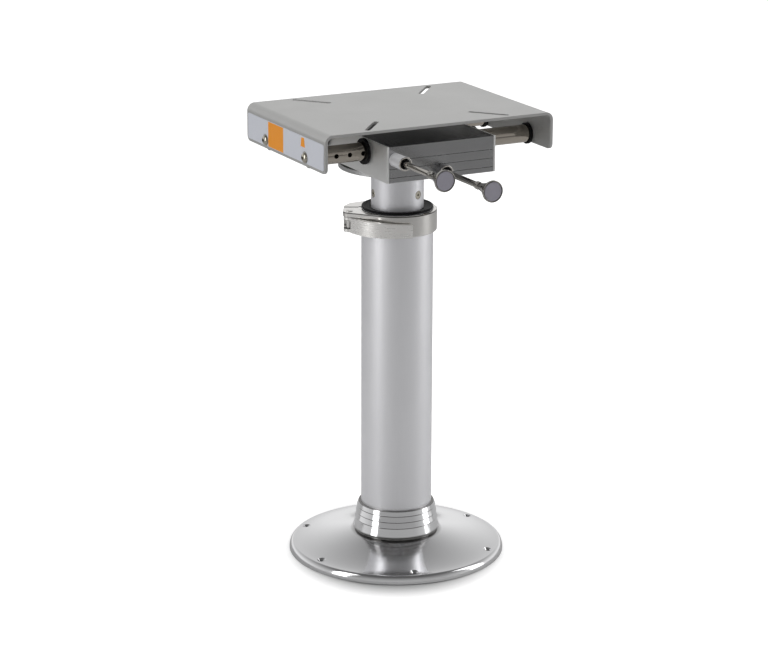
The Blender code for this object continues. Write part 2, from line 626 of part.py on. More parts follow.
def build_riser():
    """The inner column with its foot bush and the three screws that hold the spindle."""
    inner = RISER_RADIUS - RISER_WALL
    riser = pipe("inner_tube", RISER_RADIUS, inner, RISER_BOTTOM, RISER_TOP, "satin_aluminium",
                 BIG_STEPS)
    bush_outer = COLUMN_RADIUS - COLUMN_WALL - RUN_GAP - 0.1 * MM
    bush_bore = RISER_RADIUS + SEAT_GAP
    lip = inner - 2.0 * MM
    foot = RISER_BOTTOM - SEAT_GAP - FOOT_BUSH_FLOOR
    profile = [(bush_bore, foot + FOOT_BUSH_HEIGHT), (bush_outer, foot + FOOT_BUSH_HEIGHT),
               (bush_outer, foot), (lip, foot), (lip, foot + FOOT_BUSH_FLOOR), (bush_bore, foot + FOOT_BUSH_FLOOR)]
    turned("lower_guide_bush", profile, "black_plastic", BIG_STEPS, True)

    holes = []
    for index, angle in enumerate(RISER_SCREW_ANGLES, 1):
        face = on_circle(RISER_RADIUS - 0.4 * MM, angle, RISER_TOP - RISER_SCREW_DROP)
        turn = (0.0, math.pi / 2, angle)
        sizes = (RISER_SCREW_RADIUS, RISER_SCREW_HEAD, RISER_SCREW_LENGTH, face, turn)
        flat_head_screw("spindle_screw_%d" % index, *sizes, "bright_steel")
        holes.append(flat_head_cutter("spindle_screw_hole_%d" % index, *sizes))
    cut(riser, *holes)
    return holes


def build_swivel_head(riser_holes):
    """The turned plug and disc in the riser's top, its spindle post, and what sits on them."""
    low = RISER_TOP - PLUG_DEPTH
    profile = [(0.0, DISC_TOP), (DISC_RADIUS, DISC_TOP), (DISC_RADIUS, DISC_BOTTOM),
               (PLUG_RADIUS, DISC_BOTTOM), (PLUG_RADIUS, low), (0.0, low)]
    head = turned("swivel_head", profile, "anodised_grey", BIG_STEPS)
    spigot_low = DISC_TOP - SPIGOT_DEPTH
    cut(head, *riser_holes)
    cut(head, rod("spigot_bore", SPIGOT_RADIUS + SEAT_GAP, spigot_low - SEAT_GAP, DISC_TOP + OVERRUN))

    top = NUT_BOTTOM + SPINDLE_NUT_HEIGHT + THREAD_PROUD
    foot = DISC_TOP + SEAT_GAP
    profile = [(0.0, top), (THREAD_RADIUS - BROKEN_EDGE, top), (THREAD_RADIUS, top - BROKEN_EDGE),
               (THREAD_RADIUS, WEB_TOP), (POST_RADIUS, WEB_TOP), (POST_RADIUS, foot),
               (SPIGOT_RADIUS, foot), (SPIGOT_RADIUS, spigot_low), (0.0, spigot_low)]
    post = turned("spindle_post", profile, "plain_steel", MID_STEPS)
    for index in range(INDEX_HOLES):
        angle = -math.pi / 2 + math.tau * index / INDEX_HOLES
        hole = rod("index_hole_%d" % index, LOCK_TIP_RADIUS + RUN_GAP, POST_RADIUS - INDEX_HOLE_DEPTH,
                   POST_RADIUS + OVERRUN, None, TINY_STEPS, (0.0, 0.0, SWIVEL_LOCK_Z),
                   (0.0, math.pi / 2, angle))
        cut(post, hole)

    bore = POST_RADIUS + SEAT_GAP
    pipe("friction_washer", DISC_RADIUS - 2.0 * MM, bore, WASHER_BOTTOM,
         WASHER_BOTTOM + FRICTION_WASHER, "black_plastic", BIG_STEPS)
    thread_bore = THREAD_RADIUS + SEAT_GAP
    pipe("thrust_washer", THRUST_WASHER_RADIUS, thread_bore, THRUST_BOTTOM,
         THRUST_BOTTOM + THRUST_WASHER, "black_plastic", MID_STEPS)
    slab("spindle_nut", [hexagon(SPINDLE_NUT_RADIUS), circle((0.0, 0.0), thread_bore, MID_STEPS)],
         NUT_BOTTOM, NUT_BOTTOM + SPINDLE_NUT_HEIGHT, "plain_steel")


def grooved_side(front):
    """Points up one long side of the section, with its shallow V grooves."""
    points = []
    for index in range(SECTION_GROOVES):
        share = index / (SECTION_GROOVES - 1)
        height = CARRIAGE_BOTTOM + SECTION_GROOVE_LOW + SECTION_GROOVE_SPAN * share
        points += [(front, height - SECTION_GROOVE_DEPTH / 2), (front - SECTION_GROOVE_DEPTH, height),
                   (front, height + SECTION_GROOVE_DEPTH / 2)]
    return points


def section_outline():
    """Outer outline of the carriage section, grooved on both long sides."""
    side = grooved_side(CARRIAGE_FRONT)
    corner = SECTION_CORNER
    points = [(-CARRIAGE_FRONT + corner, CARRIAGE_BOTTOM), (CARRIAGE_FRONT - corner, CARRIAGE_BOTTOM),
              (CARRIAGE_FRONT, CARRIAGE_BOTTOM + corner)]
    points += side
    points += [(CARRIAGE_FRONT, CARRIAGE_TOP - corner), (CARRIAGE_FRONT - corner, CARRIAGE_TOP),
               (-CARRIAGE_FRONT + corner, CARRIAGE_TOP), (-CARRIAGE_FRONT, CARRIAGE_TOP - corner)]
    points += [(-y, z) for y, z in side[::-1]]
    points.append((-CARRIAGE_FRONT, CARRIAGE_BOTTOM + corner))
    return points


def rail_centers():
    return [(-RAIL_SPACING / 2, RAIL_Z), (RAIL_SPACING / 2, RAIL_Z)]


def build_carriage():
    """The hollow section: two rail bores, four chambers and a web for the spindle."""
    bores = [circle(center, RAIL_BORE_RADIUS, MID_STEPS) for center in rail_centers()]
    rail_y = RAIL_SPACING / 2
    chamber_low = CARRIAGE_BOTTOM + CARRIAGE_SKIN
    chamber_high = CARRIAGE_TOP - CARRIAGE_SKIN
    chambers = []
    for side in (-1, 1):
        spans = [(rail_y + RAIL_BORE_RADIUS + SECTION_RIB, CARRIAGE_FRONT - CARRIAGE_FRONT_WALL),
                 (NUT_POCKET_RADIUS + SECTION_RIB, rail_y - RAIL_BORE_RADIUS - SECTION_RIB)]
        for near, far in spans:
            low, high = sorted((side * near, side * far))
            chambers.append(rounded_box((low, chamber_low), (high, chamber_high), 1.5 * MM, 2))
    block = slab("carriage_block", [section_outline()] + bores + chambers, -CARRIAGE_END, CARRIAGE_END,
                 "anodised_grey", (0, 0, 0), OUTLINE_YZ)

    post_hole = rod("post_hole", POST_RADIUS + RUN_GAP, CARRIAGE_BOTTOM - OVERRUN, WEB_TOP + OVERRUN)
    pocket = rod("nut_pocket", NUT_POCKET_RADIUS, WEB_TOP, CARRIAGE_TOP + OVERRUN)
    cut(block, post_hole, pocket)
    for name, x, z, inner_end, _ in lock_lines():
        spigot_room = rod(name + "_spigot_room", LOCK_SPIGOT_RADIUS + SEAT_GAP,
                          CARRIAGE_FRONT - CARRIAGE_FRONT_WALL - 1.0 * MM, CARRIAGE_FRONT + OVERRUN,
                          None, SMALL_STEPS, (x, 0.0, z), TOWARD_KNOBS)
        rod_room = rod(name + "_rod_room", LOCK_ROD_RADIUS + RUN_GAP, inner_end - OVERRUN,
                       CARRIAGE_FRONT - 1.0 * MM, None, SMALL_STEPS, (x, 0.0, z), TOWARD_KNOBS)
        cut(block, spigot_room, rod_room)

    plate_outline = rounded_box((-CARRIAGE_FRONT, CARRIAGE_BOTTOM), (CARRIAGE_FRONT, CARRIAGE_TOP),
                                SECTION_CORNER, 2)
    plate_holes = [circle(center, RAIL_BORE_RADIUS, MID_STEPS) for center in rail_centers()]
    for side, low, high in (("left", -END_PLATE_FACE, -CARRIAGE_END - SEAT_GAP),
                            ("right", CARRIAGE_END + SEAT_GAP, END_PLATE_FACE)):
        slab("end_plate_" + side, [plate_outline] + plate_holes, low, high, "anodised_grey",
             (0, 0, 0), OUTLINE_YZ)


def build_rail_bushes():
    """Flanged black bushes that carry the rails at each end of the carriage."""
    bore = RAIL_RADIUS + RUN_GAP
    sleeve = bore + RAIL_BUSH_WALL
    flange = sleeve + RAIL_BUSH_FLANGE
    deep = CARRIAGE_END - RAIL_BUSH_DEPTH
    face = END_PLATE_FACE + SEAT_GAP
    profile = [(bore, face + RAIL_BUSH_PROUD), (flange, face + RAIL_BUSH_PROUD), (flange, face),
               (sleeve, face), (sleeve, deep), (bore, deep)]
    for end, turn in (("right", ALONG_X), ("left", (0.0, -math.pi / 2, 0.0))):
        for side, (y, z) in zip(("front", "rear"), rail_centers()):
            turned("rail_bush_%s_%s" % (side, end), profile, "black_plastic", SMALL_STEPS, True,
                   (0.0, y, z), turn)


def lock_lines():
    """Name, x, z and inner end of each lock rod's path, and how much deeper than the slide
    lock's its boss and spring sit."""
    rail_face = RAIL_SPACING / 2 + RAIL_RADIUS
    return [("slide_lock", SLIDE_LOCK_X, RAIL_Z, rail_face, 0.0),
            ("swivel_lock", 0.0, SWIVEL_LOCK_Z, POST_RADIUS, SWIVEL_LOCK_DEPTH)]


def build_lock_housing(name, x, z, depth):
    """Boss on the carriage's front, its bright ring and the black guide in its mouth."""
    bore = LOCK_BOSS_BORE
    face = LOCK_BOSS_FACE
    mouth = face + LOCK_BOSS_LENGTH - depth
    spigot_end = CARRIAGE_FRONT - CARRIAGE_FRONT_WALL
    profile = [(bore, mouth), (LOCK_BOSS_RADIUS, mouth), (LOCK_BOSS_RADIUS, face),
               (LOCK_SPIGOT_RADIUS, face), (LOCK_SPIGOT_RADIUS, spigot_end), (bore, spigot_end)]
    place_and_turn = ((x, 0.0, z), TOWARD_KNOBS)
    turned(name + "_housing", profile, "anodised_grey", SMALL_STEPS, True, *place_and_turn)
    ring_low = mouth + SEAT_GAP
    pipe(name + "_ring", LOCK_BOSS_RADIUS + 0.2 * MM, bore, ring_low, ring_low + LOCK_RING_HEIGHT,
         "bright_steel", SMALL_STEPS, *place_and_turn)
    guide_top = mouth - LOCK_GUIDE_DEPTH
    pipe(name + "_guide", bore - SEAT_GAP, LOCK_ROD_RADIUS + RUN_GAP, guide_top - LOCK_GUIDE_HEIGHT,
         guide_top, "black_plastic", SMALL_STEPS, *place_and_turn)


def collar_place(depth):
    """Height on a lock rod of the outer face of the collar that its spring pushes on."""
    return CARRIAGE_FRONT - CARRIAGE_FRONT_WALL - 0.5 * MM - depth


def build_lock_rod(name, x, z, target, depth):
    """Lock pin and rod in one, with the spring's collar, then its knob and inlay disc."""
    tip = target + LOCK_TIP_CLEARANCE
    collar_top = collar_place(depth)
    collar_low = collar_top - LOCK_COLLAR_HEIGHT
    neck = KNOB_FACE - KNOB_LENGTH
    shoulder = tip + 7.5 * MM
    rod_end = neck + ROD_IN_KNOB
    profile = [(0.0, rod_end), (LOCK_ROD_RADIUS, rod_end), (LOCK_ROD_RADIUS, collar_top),
               (LOCK_COLLAR_RADIUS, collar_top), (LOCK_COLLAR_RADIUS, collar_low),
               (LOCK_ROD_RADIUS, collar_low),
               (LOCK_ROD_RADIUS, shoulder + 1.0 * MM), (LOCK_TIP_RADIUS, shoulder),
               (LOCK_TIP_RADIUS, tip + 0.6 * MM), (LOCK_TIP_RADIUS - 0.6 * MM, tip), (0.0, tip)]
    turned(name + "_rod", profile, "bright_steel", SMALL_STEPS, False, (x, 0.0, z), TOWARD_KNOBS)

    bore = LOCK_ROD_RADIUS + SEAT_GAP
    dish = KNOB_FACE_RADIUS - KNOB_RIM
    recess = KNOB_FACE - INLAY_THICKNESS - SEAT_GAP
    waist = KNOB_NECK_RADIUS - 0.6 * MM
    flare = []
    for index in range(6):
        share = index / 5
        radius = waist + (KNOB_FACE_RADIUS - waist) * (1 - share) ** 1.8
        flare.append((radius, KNOB_FACE - KNOB_LAND - (KNOB_LENGTH - KNOB_LAND - 5.4 * MM) * share))
    profile = [(0.0, recess), (dish, recess), (dish, KNOB_FACE - 0.4 * MM),
               (dish + 0.4 * MM, KNOB_FACE),
               (KNOB_FACE_RADIUS - 0.5 * MM, KNOB_FACE), (KNOB_FACE_RADIUS, KNOB_FACE - 0.5 * MM)]
    profile += flare
    profile += [(KNOB_NECK_RADIUS, neck + 4.4 * MM), (KNOB_NECK_RADIUS, neck), (bore, neck),
                (bore, rod_end + SEAT_GAP), (0.0, rod_end + SEAT_GAP)]
    turned(name + "_knob", profile, "bright_steel", SMALL_STEPS, False, (x, 0.0, z), TOWARD_KNOBS)
    rod(name + "_inlay", dish - SEAT_GAP, recess + SEAT_GAP, KNOB_FACE - 0.2 * MM, "inlay_grey",
        SMALL_STEPS, (x, 0.0, z), TOWARD_KNOBS)


def build_lock_spring(name, x, z, depth):
    """Compression spring round the rod, from its collar to the guide in the mouth."""
    low = collar_place(depth) + SEAT_GAP + SPRING_WIRE
    guide_low = LOCK_BOSS_FACE + LOCK_BOSS_LENGTH - LOCK_GUIDE_DEPTH - LOCK_GUIDE_HEIGHT
    high = guide_low - depth - SEAT_GAP - SPRING_WIRE
    radius = (LOCK_ROD_RADIUS + LOCK_BOSS_BORE) / 2
    count = SPRING_TURNS * SPRING_POINTS
    curve = bpy.data.curves.new(name + "_spring", "CURVE")
    curve.dimensions = "3D"
    curve.bevel_depth = SPRING_WIRE
    curve.bevel_resolution = 2
    curve.use_fill_caps = True
    spline = curve.splines.new("POLY")
    spline.points.add(count)
    for index, point in enumerate(spline.points):
        angle = math.tau * index / SPRING_POINTS
        height = low + (high - low) * index / count
        point.co = (radius * math.cos(angle), radius * math.sin(angle), height, 1.0)
    place(bpy.data.objects.new(name + "_spring", curve), (x, 0.0, z), TOWARD_KNOBS, "plain_steel")


def build_rails():
    """Two tubular rails with threaded plugs, black stops and button-head screws."""
    reach = PLATE_THICKNESS + SEAT_GAP
    left = PLATE_LEFT + reach
    right = PLATE_RIGHT - reach
    bore = RAIL_RADIUS - RAIL_WALL
    for side, (y, z) in zip(("front", "rear"), rail_centers()):
        place_and_turn = ((0.0, y, z), ALONG_X)
        rail = pipe(side + "_rail", RAIL_RADIUS, bore, left, right, "rail_chrome", SMALL_STEPS,
                    *place_and_turn)
        if side == "front":
            cut_lock_holes(rail, y, z)
        for end, plug_low, stop_low in (("left", left, left),
                                        ("right", right - RAIL_PLUG_LENGTH, right - STOP_THICKNESS)):
            pipe("rail_plug_%s_%s" % (side, end), bore - SEAT_GAP, RAIL_SCREW_RADIUS + SEAT_GAP,
                 plug_low, plug_low + RAIL_PLUG_LENGTH, "plain_steel", SMALL_STEPS, *place_and_turn)
            stop_bore = RAIL_RADIUS + SEAT_GAP
            pipe("rail_stop_%s_%s" % (side, end), stop_bore + STOP_WALL, stop_bore, stop_low,
                 stop_low + STOP_THICKNESS, "black_plastic", SMALL_STEPS, *place_and_turn)


def cut_lock_holes(rail, y, z):
    """Locking holes in the near side of the front rail, one of them at the lock pin."""
    for index in range(LOCK_HOLES):
        x = SLIDE_LOCK_X + LOCK_HOLE_PITCH * (index - LOCK_HOLES // 2)
        hole = rod("lock_hole_%d" % index, LOCK_TIP_RADIUS + RUN_GAP, 0.0, RAIL_RADIUS + OVERRUN,
                   None, TINY_STEPS, (x, y, z), TOWARD_KNOBS)
        cut(rail, hole)


def button_head_screw(name, x, y, z, rotation):
    """Its own Z = 0 is the seat under the head and the shank runs down."""
    crown = []
    for index in range(3):
        angle = math.radians(78 - 36 * index)
        crown.append((RAIL_SCREW_HEAD * math.cos(angle), RAIL_SCREW_HEAD_HEIGHT * math.sin(angle)))
    profile = [(0.0, RAIL_SCREW_HEAD_HEIGHT)] + crown
    profile += [(RAIL_SCREW_HEAD, 0.0), (RAIL_SCREW_RADIUS, 0.0),
                (RAIL_SCREW_RADIUS, -RAIL_SCREW_LENGTH),
                (0.0, -RAIL_SCREW_LENGTH)]
    screw = turned(name, profile, "bright_steel", TINY_STEPS, False, (x, y, z), rotation)
    socket = slab(name + "_socket", [hexagon(0.36 * RAIL_SCREW_HEAD)], 0.35 * RAIL_SCREW_HEAD_HEIGHT,
                  2.0 * RAIL_SCREW_HEAD_HEIGHT, None, (x, y, z), rotation)
    cut(screw, socket)


def build_rail_screws():
    for end, x, turn in (("left", PLATE_LEFT - SEAT_GAP, (0.0, -math.pi / 2, 0.0)),
                         ("right", PLATE_RIGHT + SEAT_GAP, ALONG_X)):
        for side, (y, z) in zip(("front", "rear"), rail_centers()):
            button_head_screw("rail_screw_%s_%s" % (side, end), x, y, z, turn)


def build_seat_plate():
    """One sheet folded down at both ends, with four slots and four screw holes."""
    half = PLATE_THICKNESS / 2
    bend = PLATE_BEND - half
    top = PLATE_TOP - half
    left = PLATE_LEFT + half
    right = PLATE_RIGHT - half
    path = [(left, PLATE_BOTTOM - OVERRUN)]
    path += arc((left + bend, top - bend), bend, math.pi, math.pi / 2, 5)
    path += arc((right - bend, top - bend), bend, math.pi / 2, 0.0, 5)
    path.append((right, PLATE_BOTTOM - OVERRUN))
    mesh = bpy.data.meshes.new("seat_plate")
    shape = bmesh.new()
    line = [shape.verts.new((x, -PLATE_WIDTH / 2, z)) for x, z in path]
    edges = [shape.edges.new(pair) for pair in zip(line, line[1:])]
    drawn = bmesh.ops.extrude_edge_only(shape, edges=edges)
    moved = [item for item in drawn["geom"] if isinstance(item, bmesh.types.BMVert)]
    bmesh.ops.translate(shape, vec=(0.0, PLATE_WIDTH, 0.0), verts=moved)
    shape.to_mesh(mesh)
    shape.free()
    plate = place(bpy.data.objects.new("seat_plate", mesh), (0, 0, 0), UPRIGHT, "plate_grey")
    sheet = plate.modifiers.new("sheet", "SOLIDIFY")
    sheet.thickness = PLATE_THICKNESS
    sheet.offset = 0.0
    sheet.use_even_offset = True

    trim_left = PLATE_LEFT - OVERRUN
    trim_right = PLATE_RIGHT + OVERRUN
    edge_y = PLATE_WIDTH / 2
    side_view = rounded_box((-edge_y, PLATE_BOTTOM), (edge_y, PLATE_TOP + OVERRUN), 1.0 * MM, 1)
    trim = slab("flange_trim", [side_view], trim_left, trim_right, None, (0, 0, 0), OUTLINE_YZ)
    combine(plate, trim, "INTERSECT")
    for index, side in enumerate((-1, 1)):
        corner = side * (edge_y - FLANGE_CORNER)
        start = math.pi * 1.5
        past = side * (edge_y + OVERRUN)
        wedge = arc((corner, PLATE_BOTTOM + FLANGE_CORNER), FLANGE_CORNER, start,
                    start + side * math.pi / 2, 5)
        wedge += [(past, PLATE_BOTTOM + FLANGE_CORNER), (past, PLATE_BOTTOM - OVERRUN),
                  (corner, PLATE_BOTTOM - OVERRUN)]
        cut(plate, slab("flange_corner_%d" % index, [wedge], trim_left, trim_right, None, (0, 0, 0),
                        OUTLINE_YZ))
    cut_plate_slots(plate)
    for index, (y, z) in enumerate(rail_centers()):
        for end, x in (("left", PLATE_LEFT), ("right", PLATE_RIGHT)):
            hole = rod("rail_screw_hole_%s_%d" % (end, index), RAIL_SCREW_RADIUS + SEAT_GAP,
                       x - 2 * OVERRUN, x + 2 * OVERRUN, None, TINY_STEPS, (0.0, y, z), ALONG_X)
            cut(plate, hole)


def cut_plate_slots(plate):
    """Four diagonal slots with round ends, one toward each corner, for the seat's bolts."""
    for index, (side_x, side_y) in enumerate(((-1, -1), (1, -1), (1, 1), (-1, 1))):
        near = Vector((side_x * SLOT_INNER[0] + PLATE_OFFSET, side_y * SLOT_INNER[1]))
        far = Vector((side_x * SLOT_OUTER[0] + PLATE_OFFSET, side_y * SLOT_OUTER[1]))
        along = (far - near).normalized()
        angle = math.atan2(along.y, along.x)
        radius = SLOT_WIDTH / 2
        half_turn = math.pi / 2
        outline = arc(far - along * radius, radius, angle - half_turn, angle + half_turn, 5)
        outline += arc(near + along * radius, radius, angle + half_turn, angle + 3 * half_turn, 5)
        cut(plate, slab("plate_slot_%d" % index, [outline], PLATE_TOP - 3 * OVERRUN,
                        PLATE_TOP + OVERRUN))


def build_pedestal():
    build_base()
    build_column()
    build_clamp_band()
    build_clamp_bolt()
    build_clamp_lever()
    build_swivel_head(build_riser())
    build_carriage()
    build_rail_bushes()
    for name, x, z, target, depth in lock_lines():
        build_lock_housing(name, x, z, depth)
        build_lock_rod(name, x, z, target, depth)
        build_lock_spring(name, x, z, depth)
    build_seat_plate()
    build_rails()
    build_rail_screws()


build_pedestal()
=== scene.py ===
"""Boat seat pedestal: a polished deck base, a column with a quick clamp, a swivelling carriage
with two pull knobs, and a folded seat plate that slides on two rails. Sizes of the object are
in millimetres, and those of the studio and inside the shader groups in metres."""

import math

import bmesh
import bpy
from mathutils import Matrix, Vector
from mathutils.geometry import convex_hull_2d


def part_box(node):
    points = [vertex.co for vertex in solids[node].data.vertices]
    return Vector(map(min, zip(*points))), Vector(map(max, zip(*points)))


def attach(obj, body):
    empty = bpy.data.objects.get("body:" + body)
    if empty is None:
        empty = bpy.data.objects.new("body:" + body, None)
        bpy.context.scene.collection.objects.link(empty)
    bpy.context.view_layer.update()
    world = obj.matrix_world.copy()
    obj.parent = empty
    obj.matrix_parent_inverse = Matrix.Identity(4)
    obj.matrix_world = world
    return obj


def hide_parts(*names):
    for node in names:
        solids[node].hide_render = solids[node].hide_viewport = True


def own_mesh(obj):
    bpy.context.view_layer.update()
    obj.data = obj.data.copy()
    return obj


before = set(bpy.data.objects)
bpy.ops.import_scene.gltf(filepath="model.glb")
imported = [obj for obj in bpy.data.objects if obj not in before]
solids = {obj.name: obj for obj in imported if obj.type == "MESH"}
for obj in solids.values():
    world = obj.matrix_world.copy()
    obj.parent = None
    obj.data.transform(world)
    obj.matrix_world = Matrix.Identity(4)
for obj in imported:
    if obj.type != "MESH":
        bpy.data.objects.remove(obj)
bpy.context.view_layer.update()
mm = 0.001

# The camera stands 3.6 m from the column, higher than the plate, and looks down at the object
# through a long lens, as the photograph does.
yaw, pitch, roll = 0.483, 0.286, 0.003
camera_place = (-1.6888, -3.1815, 1.3889)
ahead = Vector((math.sin(yaw) * math.cos(pitch), math.cos(yaw) * math.cos(pitch), -math.sin(pitch)))
level_right = ahead.cross(Vector((0, 0, 1))).normalized()
level_up = level_right.cross(ahead)
camera_right = math.cos(roll) * level_right + math.sin(roll) * level_up
camera_up = math.cos(roll) * level_up - math.sin(roll) * level_right
camera_axes = Matrix((camera_right, camera_up, -ahead)).transposed()
camera_data = bpy.data.cameras.new("studio_camera")
camera_data.lens = 125.7
camera_data.clip_end = 100
camera = bpy.data.objects.new("studio_camera", camera_data)
camera.matrix_world = Matrix.Translation(camera_place) @ camera_axes.to_4x4()
bpy.context.scene.collection.objects.link(camera)
bpy.context.scene.camera = camera
bpy.context.scene.view_settings.view_transform = "Standard"

# The floor is a plain pale studio sweep. It takes the soft shadow of the base, and away from
# the base the camera sees it fade into the white background, sooner to the sides.
floor_radius, floor_drop, floor_across = 45.0, 0.0002, 0.8
shadow_reach, white_reach = 0.157, 0.215


def add(tree, kind, inputs=None, **settings):
    """Add a node. An input given as another node's output is linked, any other is set."""
    node = tree.nodes.new(kind)
    for name, value in settings.items():
        setattr(node, name, value)
    for name, value in (inputs or {}).items():
        if isinstance(value, bpy.types.NodeSocket):
            tree.links.new(value, node.inputs[name])
        else:
            node.inputs[name].default_value = value
    return node


def maths(tree, operation, *values):
    """The result of an operation on numbers, which may be other nodes' outputs."""
    return add(tree, "ShaderNodeMath", dict(enumerate(values)), operation=operation).outputs[0]


def spread(tree, value, start, end, low, high):
    """A value spread so that start to end becomes low to high, and held there beyond."""
    mapped = add(tree, "ShaderNodeMapRange", {"Value": value, "From Min": start, "From Max": end,
                                              "To Min": low, "To Max": high})
    return mapped.outputs["Result"]


floor_material = bpy.data.materials.new("studio_floor")
floor_material.use_nodes = True
tree = floor_material.node_tree
paint = tree.nodes["Principled BSDF"]
paint.inputs["Base Color"].default_value = (0.60, 0.60, 0.60, 1)
paint.inputs["Roughness"].default_value = 0.9
paint.inputs["Specular IOR Level"].default_value = 0.1
path = add(tree, "ShaderNodeLightPath")
spot = add(tree, "ShaderNodeTexCoord")
reach = add(tree, "ShaderNodeVectorMath", {0: spot.outputs["Object"]}, operation="LENGTH")
fade = spread(tree, reach.outputs["Value"], shadow_reach, white_reach, 0.0, 0.95)
lift = maths(tree, "MULTIPLY", fade, path.outputs["Is Camera Ray"])
paint.inputs["Emission Color"].default_value = (1, 1, 1, 1)
tree.links.new(lift, paint.inputs["Emission Strength"])
bpy.ops.mesh.primitive_circle_add(vertices=64, radius=floor_radius, fill_type="NGON",
                                  location=(0, 0, -floor_drop))
floor = bpy.context.object
floor.name = "studio_floor"
floor.rotation_euler.z = -yaw
floor.scale.x = floor_across
floor.data.materials.append(floor_material)

# The studio: a pale wall behind the object, a darker room toward the camera and overhead, a
# tall soft lamp at each side, and a wide one above for the plate. Bearings run round the
# column from the camera, in degrees, positive to the right.
toward_camera = Vector((-math.sin(yaw), -math.cos(yaw), 0.0))
toward_right = Vector((math.cos(yaw), -math.sin(yaw), 0.0))
lamp_target = Vector((0, 0, 0.35))
world = bpy.data.worlds.new("studio")
world.use_nodes = True
bpy.context.scene.world = world
tree = world.node_tree
surround = tree.nodes["Background"]
heading = add(tree, "ShaderNodeTexCoord").outputs["Generated"]
facing = add(tree, "ShaderNodeVectorMath", {0: heading, 1: -toward_camera}, operation="DOT_PRODUCT")
walls = spread(tree, facing.outputs["Value"], -0.6, 0.5, 0.45, 0.9)
axes = add(tree, "ShaderNodeSeparateXYZ", {0: heading})
ceiling = spread(tree, axes.outputs["Z"], 0.15, 0.85, 1.0, 0.2)
path = add(tree, "ShaderNodeLightPath")
white = maths(tree, "MAXIMUM", maths(tree, "MULTIPLY", walls, ceiling), path.outputs["Is Camera Ray"])
tree.links.new(white, surround.inputs["Strength"])
surround.inputs["Color"].default_value = (1, 1, 1, 1)


def softbox(name, bearing, distance, height, width, tall, brightness):
    """A flat soft lamp that faces the object, of a given brightness where white is 1."""
    turn = math.radians(bearing)
    place = distance * (math.cos(turn) * toward_camera + math.sin(turn) * toward_right)
    place.z = height
    data = bpy.data.lights.new(name, "AREA")
    data.shape = "RECTANGLE"
    data.size = width
    data.size_y = tall
    data.energy = brightness * math.pi * width * tall
    lamp = bpy.data.objects.new(name, data)
    lamp.location = place
    lamp.rotation_euler = (lamp_target - place).to_track_quat("-Z", "Y").to_euler()
    lamp.visible_camera = False
    bpy.context.scene.collection.objects.link(lamp)
    return lamp


softbox("left_lamp", -60, 2.2, 1.15, 0.75, 2.2, 2.8)
softbox("right_lamp", 93, 2.2, 1.15, 0.85, 2.2, 2.0)
softbox("overhead_lamp", 150, 0.6, 2.9, 2.4, 2.0, 2.3).visible_glossy = False

# The deck base is one aluminium casting, turned and polished all over: a rolled rim, a dished
# top, and a tapered collar with three grooves that the column is pressed into. Six
# countersunk holes take deck screws, and six ribs stiffen the hollow underside.
collar_bore, collar_top, bore_floor = 50.3, 71.0, 6.0
dish_inner, dish_outer, dish_low, dish_high = 60.2, 145.0, 12.3, 29.6
rim_middle, rim_width, rim_bottom, rim_height = 146.2, 6.3, 1.5, 10.9
rib_inner, rib_outer, rib_half_width, rib_low, rib_high = 68.75, 128.25, 2.5, 1.0, 8.5
hole_circle, hole_turn, rib_turn = 137.8, 12.8, 42.8


def eased(points, radius, closed=False, count=4):
    """Round the corners of an outline, apart from those that hardly turn."""
    nearly_straight = math.radians(160)
    smooth = []
    for index, corner in enumerate(points):
        here = Vector(corner)
        if not closed and index in (0, len(points) - 1):
            smooth.append(tuple(corner))
            continue
        back = Vector(points[index - 1]) - here
        onward = Vector(points[(index + 1) % len(points)]) - here
        turn = back.angle(onward)
        if turn > nearly_straight:
            smooth.append(tuple(corner))
            continue
        reach = min(radius / math.tan(turn / 2), 0.45 * back.length, 0.45 * onward.length)
        start = here + back.normalized() * reach
        end = here + onward.normalized() * reach
        for step in range(count + 1):
            share = step / count
            point = start * (1 - share) ** 2 + here * 2 * share * (1 - share) + end * share ** 2
            smooth.append(tuple(point))
    return smooth


def polar(radius, angle, height=0.0):
    """A point at a distance from the column's axis and an angle round it."""
    return (radius * math.cos(angle), radius * math.sin(angle), height)


def put(name, mesh, place, rotation):
    """Stand a mesh in the scene as a piece of its own."""
    item = bpy.data.objects.new(name, mesh)
    item.location = Vector(place) * mm
    item.rotation_euler = rotation
    bpy.context.scene.collection.objects.link(item)
    return item


def turned(name, profile, steps=144, ring=False, place=(0, 0, 0), rotation=(0, 0, 0)):
    """A lathe-turned piece: (radius, height) points spun about its own Z. A ring has a bore,
    so that its profile is closed."""
    mesh = bpy.data.meshes.new(name)
    shape = bmesh.new()
    rows = []
    for radius, height in profile:
        if radius < 0.001:
            rows.append([shape.verts.new((0, 0, height * mm))])
            continue
        rows.append([shape.verts.new(polar(radius * mm, math.tau * step / steps, height * mm))
                     for step in range(steps)])
    pairs = list(zip(rows, rows[1:]))
    if ring:
        pairs.append((rows[-1], rows[0]))
    for upper, lower in pairs:
        for step in range(steps):
            after = (step + 1) % steps
            if len(upper) == 1:
                shape.faces.new((upper[0], lower[step], lower[after]))
            elif len(lower) == 1:
                shape.faces.new((upper[step], lower[0], upper[after]))
            else:
                shape.faces.new((upper[step], lower[step], lower[after], upper[after]))
    bmesh.ops.recalc_face_normals(shape, faces=shape.faces)
    shape.to_mesh(mesh)
    shape.free()
    return put(name, mesh, place, rotation)


def meshed(curve):
    """The mesh that a curve draws."""
    item = bpy.data.objects.new(curve.name, curve)
    bpy.context.scene.collection.objects.link(item)
    graph = bpy.context.evaluated_depsgraph_get()
    mesh = bpy.data.meshes.new_from_object(item.evaluated_get(graph))
    bpy.data.objects.remove(item, do_unlink=True)
    return mesh


